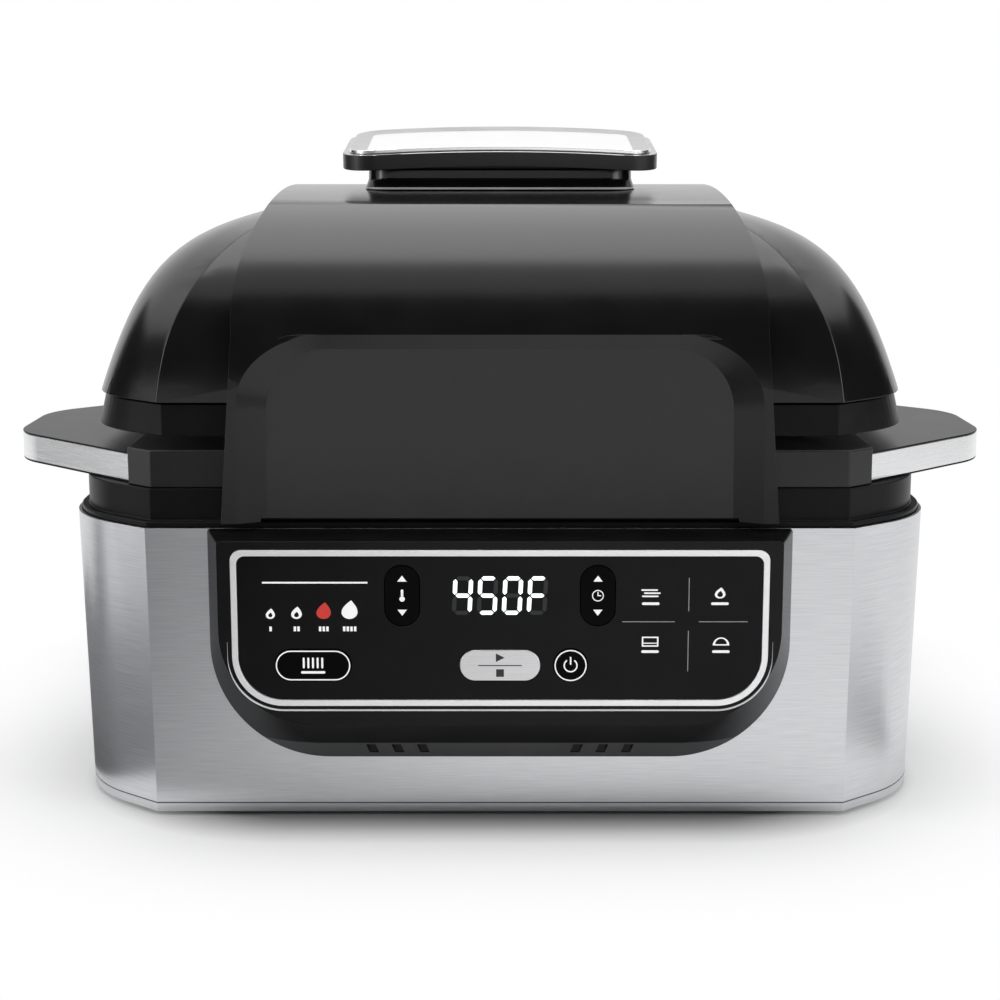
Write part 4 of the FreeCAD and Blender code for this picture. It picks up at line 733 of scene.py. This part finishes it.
def sheet_object(name, half_x, half_y, material, near_y=None):
    """A flat sheet, which may be narrower at its left end."""
    mesh = bpy.data.meshes.new(name)
    near_y = near_y or half_y
    corners = [(-half_x, -near_y, 0), (half_x, -half_y, 0), (half_x, half_y, 0), (-half_x, near_y, 0)]
    mesh.from_pydata(corners, [], [(0, 1, 2, 3)])
    mesh.materials.append(material)
    item = link(bpy.data.objects.new(name, mesh))
    return item


def aim(item, place, target):
    item.location = place
    item.rotation_euler = (Vector(target) - Vector(place)).to_track_quat("-Z", "Y").to_euler()


def card_paint(name, dark, light):
    return plastic(name, dark, light, 0.9, 50.0, 0.0, 0.0)


GREY_CARD = ((0.17, 0.17, 0.175), (0.18, 0.18, 0.185))


def fading_card():
    """Grey card that fades away from left to right, for a soft edge in the steel."""
    material, tree, shader = new_material("fading_card")
    mottle = stretched_noise(tree, EVEN, 40.0)
    tree.links.new(tint(tree, mottle, *GREY_CARD), shader.inputs["Base Color"])
    shader.inputs["Roughness"].default_value = 0.9
    place = tree.nodes.new("ShaderNodeTexCoord")
    split = tree.nodes.new("ShaderNodeSeparateXYZ")
    tree.links.new(place.outputs["Object"], split.inputs["Vector"])
    fade = remap(tree, split.outputs["X"], 1.0, 0.0, CARD_DARK, CARD_CLEAR, smooth=True)
    tree.links.new(fade, shader.inputs["Alpha"])
    return material


def only_reflected(card):
    """Leaves a card out of the picture, the diffuse light and the shadows."""
    card.visible_camera = False
    card.visible_diffuse = False
    card.visible_shadow = False


def flag(name, place, half_x, half_y, material):
    """A studio flag: a dark card that faces the object, and that only reflections see."""
    card = sheet_object(name, half_x, half_y, material)
    aim(card, place, LIGHT_TARGET)
    only_reflected(card)


def table_card(name, place, turn, half_x, half_y, material, near_y=None):
    """A card flat on the table, turned from the right towards the back, that only reflections see."""
    card = sheet_object(name, half_x, half_y, material, near_y)
    card.location = (*place, TABLE_CARD_HEIGHT)
    card.rotation_euler = (0, 0, math.radians(turn))
    only_reflected(card)


def build_stage():
    """The floor, and the cards that darken what the black and steel faces reflect."""
    sheet_object("floor", FLOOR_HALF, FLOOR_HALF, floor_material())
    black = card_paint("black_flag", (0.004, 0.004, 0.004), (0.006, 0.006, 0.006))
    grey = card_paint("grey_flag", *GREY_CARD)
    pale = card_paint("pale_flag", (0.39, 0.39, 0.395), (0.41, 0.41, 0.415))
    flag("front_flag", (0.0, -2.25, 1.6), 2.6, 1.1, black)
    flag("horizon_flag", (0.0, -2.4, 0.12), 2.6, 0.12, black)
    flag("left_flag", (-1.6, 0.65, 0.35), 0.6, 0.5, black)
    flag("right_flag", (1.5, 0.45, 0.45), 0.75, 0.45, black)
    table_card("left_streak_card", (-1.074, 0.106), 170, 0.80, 0.07, grey)
    table_card("left_foot_card", (-0.33, -0.03), 0, 0.14, 0.27, grey)
    table_card("right_streak_card", (0.962, -0.449), -24, 0.80, 0.22, pale, 0.02)
    table_card("front_card", (0.0, -0.97), 0, 1.6, 0.8, fading_card())


def build_world():
    """A studio: white where it shows, and a dimmer even light on the object."""
    world = bpy.data.worlds.new("studio")
    scene.world = world
    world.use_nodes = True
    tree = world.node_tree
    lighting = tree.nodes["Background"]
    lighting.inputs["Color"].default_value = (1, 1, 1, 1)
    lighting.inputs["Strength"].default_value = WORLD_LIGHT
    shown = tree.nodes.new("ShaderNodeBackground")
    shown.inputs["Color"].default_value = (1, 1, 1, 1)
    shown.inputs["Strength"].default_value = 1.0
    mix = tree.nodes.new("ShaderNodeMixShader")
    tree.links.new(seen_directly(tree), mix.inputs["Fac"])
    tree.links.new(lighting.outputs["Background"], mix.inputs[1])
    tree.links.new(shown.outputs["Background"], mix.inputs[2])
    tree.links.new(mix.outputs["Shader"], tree.nodes["World Output"].inputs["Surface"])


def area_light(name, place, width, height, power):
    """A rectangle of light that faces the object: metres and watts."""
    lamp = bpy.data.lights.new(name, "AREA")
    lamp.shape = "RECTANGLE"
    lamp.size = width
    lamp.size_y = height
    lamp.energy = power
    item = link(bpy.data.objects.new(name, lamp))
    item.visible_camera = False
    aim(item, place, LIGHT_TARGET)


def build_lights():
    area_light("overhead", (0.0, 0.12, 1.5), 1.2, 1.2, 17)
    area_light("key_right", (1.7, -1.1, 0.8), 0.8, 1.2, 12)
    area_light("strip_left", (-1.6, -0.55, 0.6), 0.3, 1.2, 8)


def build_camera():
    camera = bpy.data.cameras.new("camera")
    camera.sensor_width = SENSOR
    camera.sensor_fit = "HORIZONTAL"
    camera.lens = FOCAL_PIXELS / IMAGE_PIXELS * SENSOR
    item = link(bpy.data.objects.new("camera", camera))
    item.location = (0, -CAMERA_DISTANCE, CAMERA_HEIGHT)
    item.rotation_euler = (math.radians(90 - CAMERA_PITCH), 0, 0)
    scene.camera = item


scene.view_settings.view_transform = "Standard"
dress_cad()
panel_marks()
bezel_highlight_line()
neck_highlight_line()
key_marks()
build_stage()
build_world()
build_lights()
build_camera()
